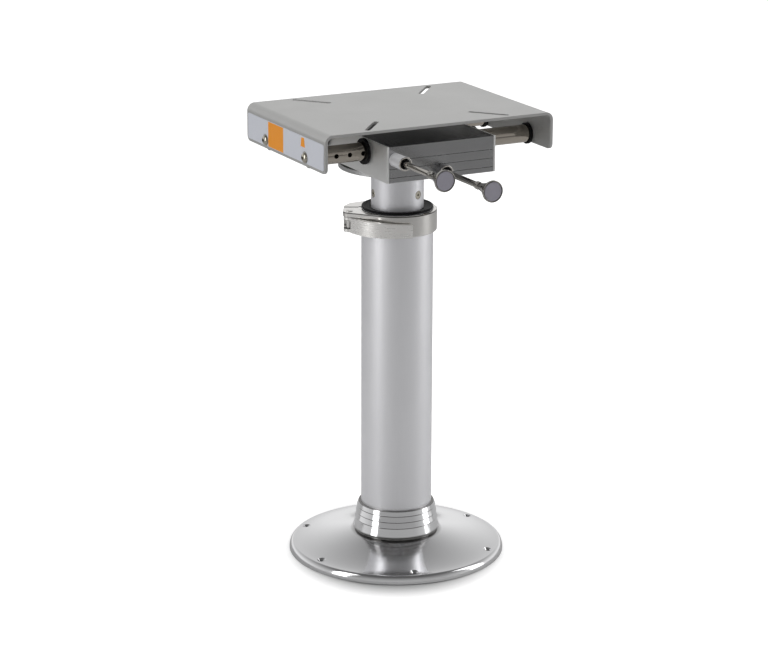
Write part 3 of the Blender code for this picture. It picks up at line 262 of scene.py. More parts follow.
def slab(name, outlines, low, high, place=(0, 0, 0), rotation=(0, 0, 0)):
    """A flat outline with any holes in it that stands between two heights."""
    curve = bpy.data.curves.new(name, "CURVE")
    curve.dimensions = "2D"
    curve.fill_mode = "BOTH"
    curve.extrude = (high - low) / 2 * mm
    for outline in outlines:
        line = curve.splines.new("POLY")
        line.points.add(len(outline) - 1)
        for point, (x, y) in zip(line.points, outline):
            point.co = (x * mm, y * mm, 0, 1)
        line.use_cyclic_u = True
    mesh = meshed(curve)
    shape = bmesh.new()
    shape.from_mesh(mesh)
    bmesh.ops.remove_doubles(shape, verts=shape.verts, dist=0.000001)
    bmesh.ops.translate(shape, vec=(0, 0, (high + low) / 2 * mm), verts=shape.verts)
    bmesh.ops.dissolve_limit(shape, angle_limit=math.radians(0.5), verts=shape.verts, edges=shape.edges)
    bmesh.ops.recalc_face_normals(shape, faces=shape.faces)
    shape.to_mesh(mesh)
    shape.free()
    return put(name, mesh, place, rotation)


def block(name, low, high, rotation=(0, 0, 0), place=(0, 0, 0)):
    """A box between two corners in its own axes."""
    outline = [(low[0], low[1]), (high[0], low[1]), (high[0], high[1]), (low[0], high[1])]
    return slab(name, [outline], low[2], high[2], place, rotation)


def carve(item, cutters, operation="DIFFERENCE"):
    """Cut shapes out of a piece, or join them to it, and keep the mesh that results."""
    bpy.context.view_layer.update()
    for cutter in cutters:
        step = item.modifiers.new(cutter.name, "BOOLEAN")
        step.operation = operation
        step.solver = "EXACT"
        step.object = cutter
    graph = bpy.context.evaluated_depsgraph_get()
    mesh = bpy.data.meshes.new_from_object(item.evaluated_get(graph))
    item.modifiers.clear()
    item.data = mesh
    for cutter in cutters:
        bpy.data.objects.remove(cutter, do_unlink=True)


outside = [(collar_bore, collar_top), (53.6, collar_top)]
for groove, wide, narrow in ((63.5, 55.8, 54.8), (55.0, 57.4, 56.3), (46.5, 58.9, 57.8)):
    outside += [(wide, groove + 1.0), (wide - 1.1, groove + 0.2), (narrow, groove - 0.5)]
outside += [(61.3, 34.2), (60.4, 33.3), (58.6, 32.6), (58.6, 30.0)]
for step in range(17):
    share = step / 16
    outside.append((dish_inner + (dish_outer - dish_inner) * share,
                    dish_low + (dish_high - dish_low) * (1 - share) ** 1.45))
rim = [(rim_middle + rim_width * math.cos(angle), rim_bottom + rim_height * math.sin(angle))
       for angle in [math.radians(86 - 8 * step) for step in range(12)]]
below = [(151.9, 0.4), (150.8, 0.0), (126.5, 0.0), (124.5, 7.5), (72.0, 18.6), (70.0, 0.0), (0.0, 0.0)]
casting = [(0.0, bore_floor), (collar_bore, bore_floor)] + eased(outside, 0.5, count=3) + rim
casting += eased(below, 1.0, count=3)
base = turned("base_flange", casting, 192)
rib_angles = [math.radians(rib_turn + 60 * number) for number in range(6)]
rib_corners = (rib_inner, -rib_half_width, rib_low), (rib_outer, rib_half_width, rib_high)
carve(base, [block("base_rib", *rib_corners, (0, 0, angle)) for angle in rib_angles], "UNION")
sink = [(0.0, 15.4), (8.7, 15.4), (3.5, 10.2), (3.5, -5.0), (0.0, -5.0)]
hole_angles = [math.radians(hole_turn + 60 * number) for number in range(6)]
carve(base, [turned("deck_hole", sink, 40, place=polar(hole_circle, angle)) for angle in hole_angles])


def effect(name, inputs, outputs):
    """An empty node group with its inputs, set to their usual values, and its outputs."""
    group = bpy.data.node_groups.new(name, "ShaderNodeTree")
    for label, value in inputs.items():
        kind = "NodeSocketVector" if isinstance(value, tuple) else "NodeSocketFloat"
        group.interface.new_socket(label, in_out="INPUT", socket_type=kind).default_value = value
    for label in outputs:
        group.interface.new_socket(label, in_out="OUTPUT", socket_type="NodeSocketFloat")
    return group, group.nodes.new("NodeGroupInput"), group.nodes.new("NodeGroupOutput")


def axis_distance(tree, spot):
    """How far a spot is from the piece's own Z axis."""
    level = add(tree, "ShaderNodeVectorMath", {0: spot, 1: (1, 1, 0)}, operation="MULTIPLY")
    return add(tree, "ShaderNodeVectorMath", {0: level.outputs[0]}, operation="LENGTH").outputs["Value"]


# Rings left by the lathe, round a turned piece's own Z axis
turning, given, result = effect("lathe_rings", {"Lines": 900.0, "Low": 0.1, "High": 0.2},
                                ["Value", "Height"])
spot = add(turning, "ShaderNodeTexCoord").outputs["Object"]
axes = add(turning, "ShaderNodeSeparateXYZ", {0: spot})
ring = add(turning, "ShaderNodeCombineXYZ", {"X": axis_distance(turning, spot), "Y": axes.outputs["Z"]})
dense = add(turning, "ShaderNodeVectorMath", {0: ring.outputs[0], "Scale": given.outputs["Lines"]},
            operation="SCALE")
cut_lines = add(turning, "ShaderNodeTexNoise", {"Vector": dense.outputs[0], "Scale": 1.0, "Detail": 3.0})
gloss = spread(turning, cut_lines.outputs[0], 0.3, 0.7, given.outputs["Low"], given.outputs["High"])
turning.links.new(gloss, result.inputs["Value"])
turning.links.new(cut_lines.outputs[0], result.inputs["Height"])

# Handling: broad faint smudges that change the gloss
handling, given, result = effect("handling_marks", {"Size": 14.0, "Low": 0.0, "High": 1.0}, ["Value"])
spot = add(handling, "ShaderNodeTexCoord").outputs["Object"]
clouds = add(handling, "ShaderNodeTexNoise", {"Vector": spot, "Scale": given.outputs["Size"], "Detail": 4.0,
                                              "Roughness": 0.6, "Distortion": 0.4})
smudges = spread(handling, clouds.outputs[0], 0.35, 0.65, given.outputs["Low"], given.outputs["High"])
handling.links.new(smudges, result.inputs["Value"])

# Worn and highlit edges, the mask for bare wear and a painted edge highlight: where a rounded normal turns
# away from the face's own
edge_wearing_and_lighting, given, result = effect("worn_and_highlit_edges", {"Width": 0.0008, "Amount": 1.0}, ["Mask"])
soft = add(edge_wearing_and_lighting, "ShaderNodeBevel", {"Radius": given.outputs["Width"]}, samples=4)
face = add(edge_wearing_and_lighting, "ShaderNodeNewGeometry")
agree = add(edge_wearing_and_lighting, "ShaderNodeVectorMath", {0: soft.outputs[0], 1: face.outputs["Normal"]},
            operation="DOT_PRODUCT")
edge = spread(edge_wearing_and_lighting, agree.outputs["Value"], 0.98, 0.8, 0.0, given.outputs["Amount"])
edge_wearing_and_lighting.links.new(edge, result.inputs["Mask"])

# A line all round a piece at one height: the mask for painted shade in a groove, a crease or along an edge
shade_banding, given, result = effect("painted_shade_band", {"Height": 0.0, "Near": 0.001, "Far": 0.002}, ["Mask"])
spot = add(shade_banding, "ShaderNodeTexCoord").outputs["Object"]
axes = add(shade_banding, "ShaderNodeSeparateXYZ", {0: spot})
gap = maths(shade_banding, "ABSOLUTE", maths(shade_banding, "SUBTRACT", axes.outputs["Z"], given.outputs["Height"]))
line = spread(shade_banding, gap, given.outputs["Near"], given.outputs["Far"], 1.0, 0.0)
shade_banding.links.new(line, result.inputs["Mask"])


def finish(name, color, metallic, gloss, grain, lines, bump, smudge, wear_and_highlight=0.0, sheen=0.0):
    """A worked metal or plastic surface. gloss is the roughness from the smoothest streak to
    the roughest, lines the grain's count a metre and bump its depth. smudge is how far handling
    changes the gloss and the grain changes the tone, the edge amount how far the edges are
    lightened, as bare worn metal and as a painted highlight, and sheen how far the gloss is
    drawn out round the axis."""
    material = bpy.data.materials.new(name)
    material.use_nodes = True
    tree = material.node_tree
    shader = tree.nodes["Principled BSDF"]
    shader.inputs["Metallic"].default_value = metallic
    worked = add(tree, "ShaderNodeGroup", node_tree=grain)
    worked.inputs["Lines"].default_value = lines
    worked.inputs["Low"].default_value = gloss[0]
    worked.inputs["High"].default_value = gloss[1]
    marks = add(tree, "ShaderNodeGroup", node_tree=handling)
    marks.inputs["Low"].default_value = -smudge
    marks.inputs["High"].default_value = smudge
    rough = add(tree, "ShaderNodeMath", {0: worked.outputs["Value"], 1: marks.outputs["Value"]},
                operation="ADD", use_clamp=True)
    tree.links.new(rough.outputs[0], shader.inputs["Roughness"])
    darker = tuple(channel * (1 - smudge) for channel in color)
    lighter = tuple(min(1.0, channel * (1 + smudge)) for channel in color)
    tone = add(tree, "ShaderNodeMix", {6: (*lighter, 1), 7: (*darker, 1)}, data_type="RGBA")
    tree.links.new(worked.outputs["Height"], tone.inputs[0])
    shade = tone.outputs[2]
    # Edges are lightened: bare worn metal and a painted edge highlight
    if wear_and_highlight:
        edges = add(tree, "ShaderNodeGroup", node_tree=edge_wearing_and_lighting)
        edges.inputs["Amount"].default_value = wear_and_highlight
        worn_lit_edge_color = tuple(min(1.0, channel * 1.45 + 0.05) for channel in color)
        worn_lit_edge = add(tree, "ShaderNodeMix", {0: edges.outputs[0], 6: shade, 7: (*worn_lit_edge_color, 1)}, data_type="RGBA")
        shade = worn_lit_edge.outputs[2]
    tree.links.new(shade, shader.inputs["Base Color"])
    relief = add(tree, "ShaderNodeBump", {"Height": worked.outputs["Height"], "Distance": bump * mm,
                                          "Strength": 1.0})
    tree.links.new(relief.outputs[0], shader.inputs["Normal"])
    if sheen:
        shader.inputs["Anisotropic"].default_value = sheen
        shader.inputs["Anisotropic Rotation"].default_value = 0.25
        round_axis = add(tree, "ShaderNodeTangent", direction_type="RADIAL", axis="Z")
        tree.links.new(round_axis.outputs[0], shader.inputs["Tangent"])
    return material


def paint_shade(material, mask, color):
    """Paint shade into a finish: darken or tint its colour where the mask is 1."""
    tree = material.node_tree
    base_color = tree.nodes["Principled BSDF"].inputs["Base Color"]
    below_shade = base_color.links[0].from_socket
    mixed = add(tree, "ShaderNodeMix", {0: mask, 6: below_shade, 7: (*color, 1)}, data_type="RGBA")
    tree.links.new(mixed.outputs[2], base_color)


def shade_band(material, height, near, far):
    """A mask that is 1 within near of a height, and 0 beyond far."""
    group = add(material.node_tree, "ShaderNodeGroup", node_tree=shade_banding)
    for socket, value in (("Height", height), ("Near", near), ("Far", far)):
        group.inputs[socket].default_value = value * mm
    return group.outputs["Mask"]


def dress(item, material, bevel=0.0, segments=2):
    """Round a piece's sharp edges, shade it smooth and give it its material."""
    sharp = math.radians(35)
    item.data.materials.clear()
    item.data.materials.append(material)
    item.data.shade_smooth()
    item.data.set_sharp_from_angle(angle=sharp)
    if bevel:
        edge = item.modifiers.new("edges", "BEVEL")
        edge.width = bevel * mm
        edge.segments = segments
        edge.limit_method = "ANGLE"
        edge.angle_limit = sharp
        edge.miter_outer = "MITER_ARC"
    even = item.modifiers.new("even_shading", "WEIGHTED_NORMAL")
    even.keep_sharp = not bevel


def fit(item, body, node):
    """The piece rides on its body and stands for its solid in the frame."""
    item.name = "made_" + node
    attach(item, body)
    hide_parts(node)


polished = finish("polished_aluminium", (0.80, 0.80, 0.81), metallic=1.0, gloss=(0.09, 0.15), grain=turning,
                  lines=700.0, bump=0.004, smudge=0.02, sheen=0.6)
# Painted shade: dark lines in the recess at the collar's foot, in its three grooves and in the crease where
# the column leaves it
for height, near, far in ((32.0, 1.5, 4.0), (46.7, 0.3, 0.9), (55.2, 0.3, 0.9), (63.7, 0.3, 0.9),
                          (71.0, 0.3, 1.0)):
    paint_shade(polished, shade_band(polished, height, near, far), (0.2, 0.195, 0.19))
dress(base, polished)
fit(base, "pedestal", "base_flange")

# The column is a drawn aluminium tube, satin anodised. Its mouth is slit where the clamp
# closes on it, and a black guide bush with a dished flange fills the mouth.
column_inner, column_outer, column_low, column_top = 46.0, 50.0, 6.3, 500.0
slit_inner, slit_outer, slit_half_width, slit_low, slit_high = 41.0, 55.0, 1.5, 472.0, 505.0
clamp_turn = math.radians(152.3)
clamp_facing = (0, 0, clamp_turn)


def tube(name, inner, outer, low, high, easing, steps, count=4, place=(0, 0, 0), rotation=(0, 0, 0)):
    """A tube or a ring with rounded edges, between two heights."""
    wall = eased([(inner, high), (outer, high), (outer, low), (inner, low)], easing, True, count)
    return turned(name, wall, steps, True, place, rotation)


column = tube("outer_tube", column_inner, column_outer, column_low, column_top, 0.4, 192, 3)
slit_corners = (slit_inner, -slit_half_width, slit_low), (slit_outer, slit_half_width, slit_high)
carve(column, [block("column_slit", *slit_corners, clamp_facing)])

# Fine drawn or rolled grain: noise that is stretched by its count of lines a metre each way
drawn, given, result = effect("drawn_grain", {"Lines": (900.0, 900.0, 20.0), "Low": 0.3, "High": 0.4},
                              ["Value", "Height"])
spot = add(drawn, "ShaderNodeTexCoord").outputs["Object"]
dense = add(drawn, "ShaderNodeVectorMath", {0: spot, 1: given.outputs["Lines"]}, operation="MULTIPLY")
streaks = add(drawn, "ShaderNodeTexNoise", {"Vector": dense.outputs[0], "Scale": 1.0, "Detail": 3.0,
                                            "Roughness": 0.6})
gloss = spread(drawn, streaks.outputs[0], 0.3, 0.7, given.outputs["Low"], given.outputs["High"])
drawn.links.new(gloss, result.inputs["Value"])
drawn.links.new(streaks.outputs[0], result.inputs["Height"])

drawn_tube = {"metallic": 1.0, "grain": drawn, "lines": (1500.0, 1500.0, 30.0), "bump": 0.004,
              "smudge": 0.03}
satin = finish("satin_aluminium", (0.95, 0.95, 0.975), gloss=(0.40, 0.50), **drawn_tube)
dress(column, satin)
fit(column, "pedestal", "outer_tube")

bush_profile = eased([(36.8, 501.3), (38.4, 501.3), (47.4, 502.6), (47.9, 503.4), (49.1, 503.4),
                      (49.5, 502.8), (49.5, 500.3), (45.7, 500.3), (45.7, 440.0), (36.8, 440.0)],
                     0.4, closed=True, count=3)
bush = turned("upper_guide_bush", bush_profile, 160, ring=True)
black_plastic = finish("black_plastic", (0.009, 0.009, 0.010), metallic=0.0, gloss=(0.44, 0.58),
                       grain=turning, lines=500.0, bump=0.01, smudge=0.04)
black_plastic.node_tree.nodes["Principled BSDF"].inputs["Specular IOR Level"].default_value = 0.12
dress(bush, black_plastic)
fit(bush, "pedestal", "upper_guide_bush")

# The quick clamp closes the slit column on the inner tube. It is a polished stainless band
# with two lugs under a flat ledge that reaches out to the lever's pivot, and a line of painted
# dark shade just under its top edge.
band_inner, band_outer, band_low, band_high = 50.3, 55.0, 469.0, 500.0
ledge_low, ledge_high = 493.0, 499.5
lug_face, lug_x, head_radius, hole_radius = 13.5, 66.0, 8.0, 3.3
pivot_x, pivot_y = lug_x, 21.8
pivot = Matrix.Rotation(clamp_turn, 3, "Z") @ Vector((pivot_x, pivot_y, 0))
bolt_line = (math.pi / 2, 0, clamp_turn)
bolt_place = polar(lug_x, clamp_turn, 481.5)


def circle(x, y, radius, count, start=0.0, sweep=math.tau):
    """Points round a circle or along part of one."""
    last = count if sweep == math.tau else count - 1
    angles = [start + sweep * step / last for step in range(count)]
    return [(x + radius * math.cos(angle), y + radius * math.sin(angle)) for angle in angles]


def cylinder(name, radius, low, high, steps, place=(0, 0, 0), rotation=(0, 0, 0)):
    """A plain cylinder between two heights."""
    return turned(name, [(0, high), (radius, high), (radius, low), (0, low)], steps, False, place, rotation)


hoop = [(band_inner, band_high), (53.5, band_high), (band_outer, 498.5), (band_outer, 470.5),
        (53.5, band_low), (band_inner, band_low)]
band = turned("clamp_band", hoop, 192, True, rotation=clamp_facing)
edge_points = circle(pivot_x, pivot_y, head_radius + 1.0, 48) + circle(lug_x, -5.5, head_radius, 48)
edge_points += circle(61.0, -19.0, 7.0, 48)
edge_points += circle(0, 0, band_outer, 48, math.radians(-60), math.radians(122))
hull = [edge_points[index] for index in convex_hull_2d([Vector(point) for point in edge_points])]
ledge = slab("clamp_ledge", [hull], ledge_low, ledge_high, rotation=clamp_facing)
lug = block("clamp_lug", (45.3, -lug_face, 470.5), (74.0, lug_face, 494.0), clamp_facing)
carve(band, [ledge, lug], "UNION")
carve(band, [cylinder("clamp_bore", band_inner, 464, 505, 192),
             block("clamp_split", (35.3, -2.0, 464.0), (84.0, 2.0, 505.0), clamp_facing),
             cylinder("clamp_bolt_hole", hole_radius, -19, 19, 32, bolt_place, bolt_line),
             cylinder("clamp_pin_hole", hole_radius, 487, 505, 32, pivot)])
bright = {"metallic": 1.0, "gloss": (0.10, 0.18), "grain": turning, "lines": 600.0, "bump": 0.004,
          "smudge": 0.03, "wear_and_highlight": 0.3}
band_steel = finish("band_steel", (0.80, 0.785, 0.76), **bright)
# Painted shade: a dark line where the top chamfer meets the band's side
paint_shade(band_steel, shade_band(band_steel, 498.4, 0.4, 0.9), (0.12, 0.115, 0.11))
dress(band, band_steel, 0.9, 3)
fit(band, "pedestal", "clamp_band")

# An eye bolt crosses the lugs and has a nut at its far end. The lever's pin goes through the
# eye and ends in a flat head, nearly flush with the ledge.
shank = [(0, 20.8), (2.6, 20.8), (3.0, 20.2), (3.0, -20.8), (0, -20.8)]
bolt = turned("clamp_bolt", shank, 32, False, bolt_place, bolt_line)
eye_profile = eased([(0, 486.7), (4.3, 486.7), (4.3, 476.3), (0, 476.3)], 0.5)
carve(bolt, [turned("clamp_bolt_eye", eye_profile, 48, place=pivot)], "UNION")
carve(bolt, [cylinder("clamp_bolt_bore", hole_radius, 472, 492, 32, pivot)])
hexagon = circle(0, 0, 5.8, 6)
nut = slab("clamp_nut", [hexagon, circle(0, 0, hole_radius, 32)], 13.8, 18.8, bolt_place, bolt_line)
pin_profile = eased([(0, 500.3), (4.2, 500.3), (4.7, 499.9), (4.7, 499.5), (3.0, 499.5), (3.0, 471.0),
                     (0, 471.0)], 0.3)
pin = turned("clamp_pin", pin_profile, 48, place=pivot)
bright_steel = finish("polished_stainless", (0.84, 0.825, 0.80), **bright)
stainless = finish("brushed_stainless", (0.88, 0.865, 0.84), metallic=0.9, gloss=(0.26, 0.36), grain=drawn,
                   lines=(500.0, 500.0, 900.0), bump=0.006, smudge=0.04, wear_and_highlight=0.4)
for item, material, bevel, node in ((bolt, bright_steel, 0.0, "clamp_bolt"),
                                    (nut, bright_steel, 0.4, "clamp_nut"),
                                    (pin, stainless, 0.0, "clamp_pin")):
    dress(item, material, bevel)
    fit(item, "pedestal", node)

# The lever is a curved flat bar that folds round the band. Its round head is forked over the
# bolt's eye, its fork painted dark inside with shade, and its top slopes down toward the free end.
lever_low, lever_high, fork_low, fork_high = 471.0, 492.0, 475.8, 487.2
lever_sweep, end_radius, half_thickness = math.radians(91.0), 61.1, 3.5
start_angle = math.atan2(pivot_y, pivot_x)
start_radius = math.hypot(pivot_x, pivot_y)
fork_facing = (0, 0, clamp_turn + start_angle)
far_side, near_side = [], []
for step in range(57):
    share = step / 56
    angle = start_angle + lever_sweep * share
    middle = start_radius + (end_radius - start_radius) * min(1.0, share * 1.15)
    half = half_thickness * (1.0 - 0.15 * share)
    for side, radius in ((far_side, middle + half), (near_side, middle - half)):
        side.append((radius * math.cos(angle) - pivot_x, radius * math.sin(angle) - pivot_y))
lever = slab("clamp_lever", [far_side + near_side[::-1]], lever_low, lever_high, pivot, clamp_facing)
carve(lever, [cylinder("lever_head", head_radius, lever_low, lever_high, 64, pivot)], "UNION")
carve(lever, [block("lever_slot", (-12, -12, fork_low), (12, 7.6, fork_high), fork_facing, pivot),
              block("lever_slot_front", (0.8, 0, fork_low), (12, 10.5, fork_high), fork_facing, pivot),
              cylinder("lever_bore", hole_radius, 466, 497, 32, pivot)])
carve(lever, [block("lever_slope", (-70, -80, 0), (80, 80, 12), (0, math.radians(3.6), math.radians(-27.2)),
                    (-52.3, -38.1, lever_high))])
lever_steel = finish("lever_steel", (0.97, 0.95, 0.925), metallic=0.65, gloss=(0.24, 0.34), grain=drawn,
                     lines=(45.0, 45.0, 1400.0), bump=0.006, smudge=0.04, wear_and_highlight=0.4)
tree = lever_steel.node_tree
# Painted shade: black inside the fork, round the bolt's eye
spot = add(tree, "ShaderNodeTexCoord").outputs["Object"]
inside = spread(tree, axis_distance(tree, spot), 7.9 * mm, 8.4 * mm, 1.0, 0.0)
fork_shade = maths(tree, "MULTIPLY", inside, shade_band(lever_steel, 481.5, 6.1, 6.3))
paint_shade(lever_steel, fork_shade, (0.02, 0.02, 0.02))
dress(lever, lever_steel, 1.3, 4)
fit(lever, "clamp_lever", "clamp_lever")

# The inner tube is satin aluminium too, in a darker copy of the column's finish: painted shade
# from the carriage above it. Three countersunk socket screws go through its wall into the swivel
# head, evenly spaced round it.
along_x, against_x, toward_knobs = (0, math.pi / 2, 0), (0, -math.pi / 2, 0), (math.pi / 2, 0, 0)
riser_inner, riser_outer, riser_low, riser_top = 33.0, 36.5, 190.0, 558.7
screw_face, screw_height, screw_key_radius = 36.1, 522.2, 1.9
riser = tube("inner_tube", riser_inner, riser_outer, riser_low, riser_top, 0.4, 192, 3)
screw_sites = [(polar(screw_face, angle, screw_height), (0, math.pi / 2, angle))
               for angle in [math.radians(bearing) for bearing in (-66.0, 54.0, 174.0)]]
sink = [(0, 5.2), (6.2, 5.2), (6.2, -0.6), (2.9, -3.9), (2.9, -15.3), (0, -15.3)]
carve(riser, [turned("screw_sink", sink, 40, False, place, along) for place, along in screw_sites])
# A darker copy of the column's satin: painted shade under the carriage
riser_satin_shaded = finish("satin_riser_painted_shade", (0.87, 0.87, 0.895), gloss=(0.46, 0.56), **drawn_tube)
dress(riser, riser_satin_shaded)
fit(riser, "riser", "inner_tube")

screw_steel = finish("screw_steel", (0.50, 0.47, 0.40), metallic=1.0, gloss=(0.12, 0.22), grain=turning,
                     lines=2500.0, bump=0.004, smudge=0.05)
screw_profile = [(0, 0), (5.4, 0), (5.9, -0.35), (2.6, -3.6), (2.6, -15), (0, -15)]
for number, (place, along) in enumerate(screw_sites, 1):
    screw = turned("spindle_screw_%d" % number, screw_profile, 40, False, place, along)
    carve(screw, [slab("screw_key", [circle(0, 0, screw_key_radius, 6)], -2.6, 5.2, place, along)])
    dress(screw, screw_steel)
    fit(screw, "riser", "spindle_screw_%d" % number)

# The swivel head is a plug in the inner tube with a wide disc on it, turned in one. The disc
# carries the carriage on a black friction washer.
disc_radius, disc_low, disc_high, plug_radius, plug_low = 82, 559.0, 565.0, 32.7, 498.7
washer_bore, washer_radius = 20.3, 80
head_profile = eased([(0, 538.7), (12.3, 538.7), (12.3, disc_high), (disc_radius, disc_high),
                      (disc_radius, disc_low), (plug_radius, disc_low), (plug_radius, plug_low),
                      (0, plug_low)], 0.5, count=3)
head = turned("swivel_head", head_profile, 160)
disc_grey = finish("disc_grey", (0.50, 0.50, 0.50), metallic=0.9, gloss=(0.30, 0.42), grain=turning,
                   lines=900.0, bump=0.006, smudge=0.04, wear_and_highlight=0.3)
dress(head, disc_grey)
fit(head, "riser", "swivel_head")
washer = tube("friction_washer", washer_bore, washer_radius, disc_high + 0.3, disc_high + 2.5, 0.3, 160)
dress(washer, black_plastic)
fit(washer, "riser", "friction_washer")

# The carriage is a hollow extruded section, grey anodised, grooved along both long sides. It
# has bores for the rails and for the swivel post and its nut, and rooms for the two locks. Its
# top, which lies in shadow under the plate, is painted dark with that shade.
section_low, section_high, section_half, carriage_half = 567.8, 617.5, 126.0, 79.0
rail_y, rail_z = 61.0, 599.5
bush_bore, bore_radius, slide_lock_x, swivel_lock_z = 12.8, 15.8, -70.7, 578.0
outline_yz = (math.pi / 2, 0, math.pi / 2)


def rounded_box(low, high, radius, count=4):
    """The outline of a rectangle with round corners, between two corners. Each arc runs a hair
    past a quarter turn: with an exact quarter the end plates come out with other edges."""
    arc = math.pi / 2 + 0.0001
    corners = [(high[0] - radius, high[1] - radius), (low[0] + radius, high[1] - radius),
               (low[0] + radius, low[1] + radius), (high[0] - radius, low[1] + radius)]
    points = []
    for index, (x, y) in enumerate(corners):
        points += circle(x, y, radius, count, index * math.pi / 2, arc)
    return points


grooves = []
for height in (575.0, 587.0, 599.0):
    grooves += [(section_half, height - 0.65), (section_half - 1.2, height - 0.2),
                (section_half - 1.2, height + 0.2), (section_half, height + 0.65)]
half_section = [(section_half - 0.7, section_low), (section_half, section_low + 0.7)] + grooves
half_section += [(section_half, section_high - 0.7), (section_half - 0.7, section_high)]
section = half_section + [(-y, z) for y, z in half_section[::-1]]
bores = [circle(side * rail_y, rail_z, bore_radius, 64) for side in (-1, 1)]
rooms = []
for side in (-1, 1):
    for near, far in ((80.8, 121.5), (34.0, 41.2)):
        left, right = sorted((side * near, side * far))
        rooms.append(rounded_box((left, 570.8), (right, 614.5), 1.5))
carriage = slab("carriage_block", [section] + bores + rooms, -carriage_half, carriage_half,
                rotation=outline_yz)
carve(carriage, [cylinder("post_hole", washer_bore, 562, 591, 64)])
carve(carriage, [cylinder("nut_pocket", 30, 586, 622.5, 96)])
for x, z, inner_end in ((slide_lock_x, rail_z, 73.5), (0.0, swivel_lock_z, 20.0)):
    carve(carriage, [cylinder("spigot_room", 8.5, 120.5, 131, 48, (x, 0, z), toward_knobs)])
    carve(carriage, [cylinder("rod_room", 4.3, inner_end - 5, 125, 32, (x, 0, z), toward_knobs)])
anodised = {"metallic": 1.0, "gloss": (0.18, 0.26), "grain": drawn, "lines": (14.0, 1100.0, 1100.0),
            "bump": 0.004, "smudge": 0.04, "wear_and_highlight": 0.6}
section_alloy = finish("section_alloy", (0.44, 0.44, 0.445), **anodised)
tree = section_alloy.node_tree
spot = add(tree, "ShaderNodeTexCoord").outputs["Object"]
axes = add(tree, "ShaderNodeSeparateXYZ", {0: spot})
# Painted shade: the top face under the plate is darkened
deck = maths(tree, "GREATER_THAN", axes.outputs["Y"], (section_high - 0.3) * mm)
paint_shade(section_alloy, deck, (0.05, 0.05, 0.05))
dress(carriage, section_alloy, 0.25)
fit(carriage, "carriage", "carriage_block")

# Thin plates close the section's ends; their edges are lightened strongly, as rubbed bare metal
# and as a painted highlight. Flanged black bushes in their holes carry the two rails.
cover_inner, cover_outer = 79.3, 82.0
cover_outline = rounded_box((-section_half, section_low), (section_half, section_high), 1.0)
plate_alloy = finish("end_plate_alloy", (0.86, 0.86, 0.85), metallic=0.8, gloss=(0.38, 0.48), grain=drawn,
                     lines=(1100.0, 60.0, 1100.0), bump=0.003, smudge=0.03, wear_and_highlight=0.9)
for side, low, high in (("left", -cover_outer, -cover_inner), ("right", cover_inner, cover_outer)):
    cover = slab("end_plate_" + side, [cover_outline] + bores, low, high, rotation=outline_yz)
    dress(cover, plate_alloy, 0.3)
    fit(cover, "carriage", "end_plate_" + side)

sleeve = eased([(bush_bore, 86.3), (17.8, 86.3), (17.8, 82.3), (15.5, 82.3), (15.5, 75.5),
                (bush_bore, 75.5)], 0.7, closed=True)
for end, turn in (("right", along_x), ("left", against_x)):
    for side, y in (("front", -rail_y), ("rear", rail_y)):
        guide = turned("rail_bush_%s_%s" % (side, end), sleeve, 72, True, (0, y, rail_z), turn)
        dress(guide, black_plastic)
        fit(guide, "carriage", "rail_bush_%s_%s" % (side, end))

# Each lock is a sprung pin on a rod, in a boss on the carriage's front. One points at the
# front rail's holes, the other at the swivel post's. A trumpet knob on the rod pulls it out; a
# bright ring and a black guide close the boss. The swivel lock's boss is shorter. The knobs,
# the swivel lock's rod and its boss take darker copies of their finishes, as painted shade.
boss_mouth, collar_at, knob_end, knob_radius, knob_length = 153.8, 121.0, 264.0, 14.5, 33.0
coil_turns, coil_steps, coil_radius, wire_radius, pull = 4, 80, 5.75, 0.55, 10.0
# A darker grey for the swivel lock's boss: painted shade from the knob in front of it
boss_grey_shaded = finish("anodised_grey", (0.385, 0.385, 0.39), **anodised)
boss_alloy = finish("boss_alloy", (0.84, 0.84, 0.86), metallic=0.4, gloss=(0.26, 0.36), grain=turning,
                    lines=1200.0, bump=0.004, smudge=0.03, wear_and_highlight=0.3)
plated = {"metallic": 1.0, "gloss": (0.05, 0.11), "grain": turning, "lines": 900.0, "bump": 0.003,
          "smudge": 0.02}
chrome = finish("chrome", (0.66, 0.63, 0.59), **plated)
# A darker copy of the chrome for the knobs and the swivel lock's rod: painted shade
shaded_chrome = finish("shaded_chrome", (0.42, 0.405, 0.38), **plated)
inlay_grey = finish("inlay_grey", (0.44, 0.425, 0.49), metallic=0.1, gloss=(0.38, 0.5), grain=drawn,
                    lines=(900.0, 900.0, 900.0), bump=0.01, smudge=0.08)
plain_steel = finish("plain_steel", (0.50, 0.50, 0.51), metallic=1.0, gloss=(0.25, 0.38), grain=drawn,
                     lines=(700.0, 700.0, 700.0), bump=0.006, smudge=0.05)


def coil(name, low, high):
    """The mesh of a round wire wound between two heights about its own Z."""
    wire = bpy.data.curves.new(name, "CURVE")
    wire.dimensions = "3D"
    wire.bevel_depth = wire_radius * mm
    wire.bevel_resolution = 3
    wire.use_fill_caps = True
    line = wire.splines.new("POLY")
    line.points.add(coil_steps)
    rise = high - low - 2 * wire_radius
    for step, point in enumerate(line.points):
        share = step / coil_steps
        x, y, height = polar(coil_radius, math.tau * coil_turns * share, low + wire_radius + rise * share)
        point.co = (x * mm, y * mm, height * mm, 1)
    return meshed(wire)


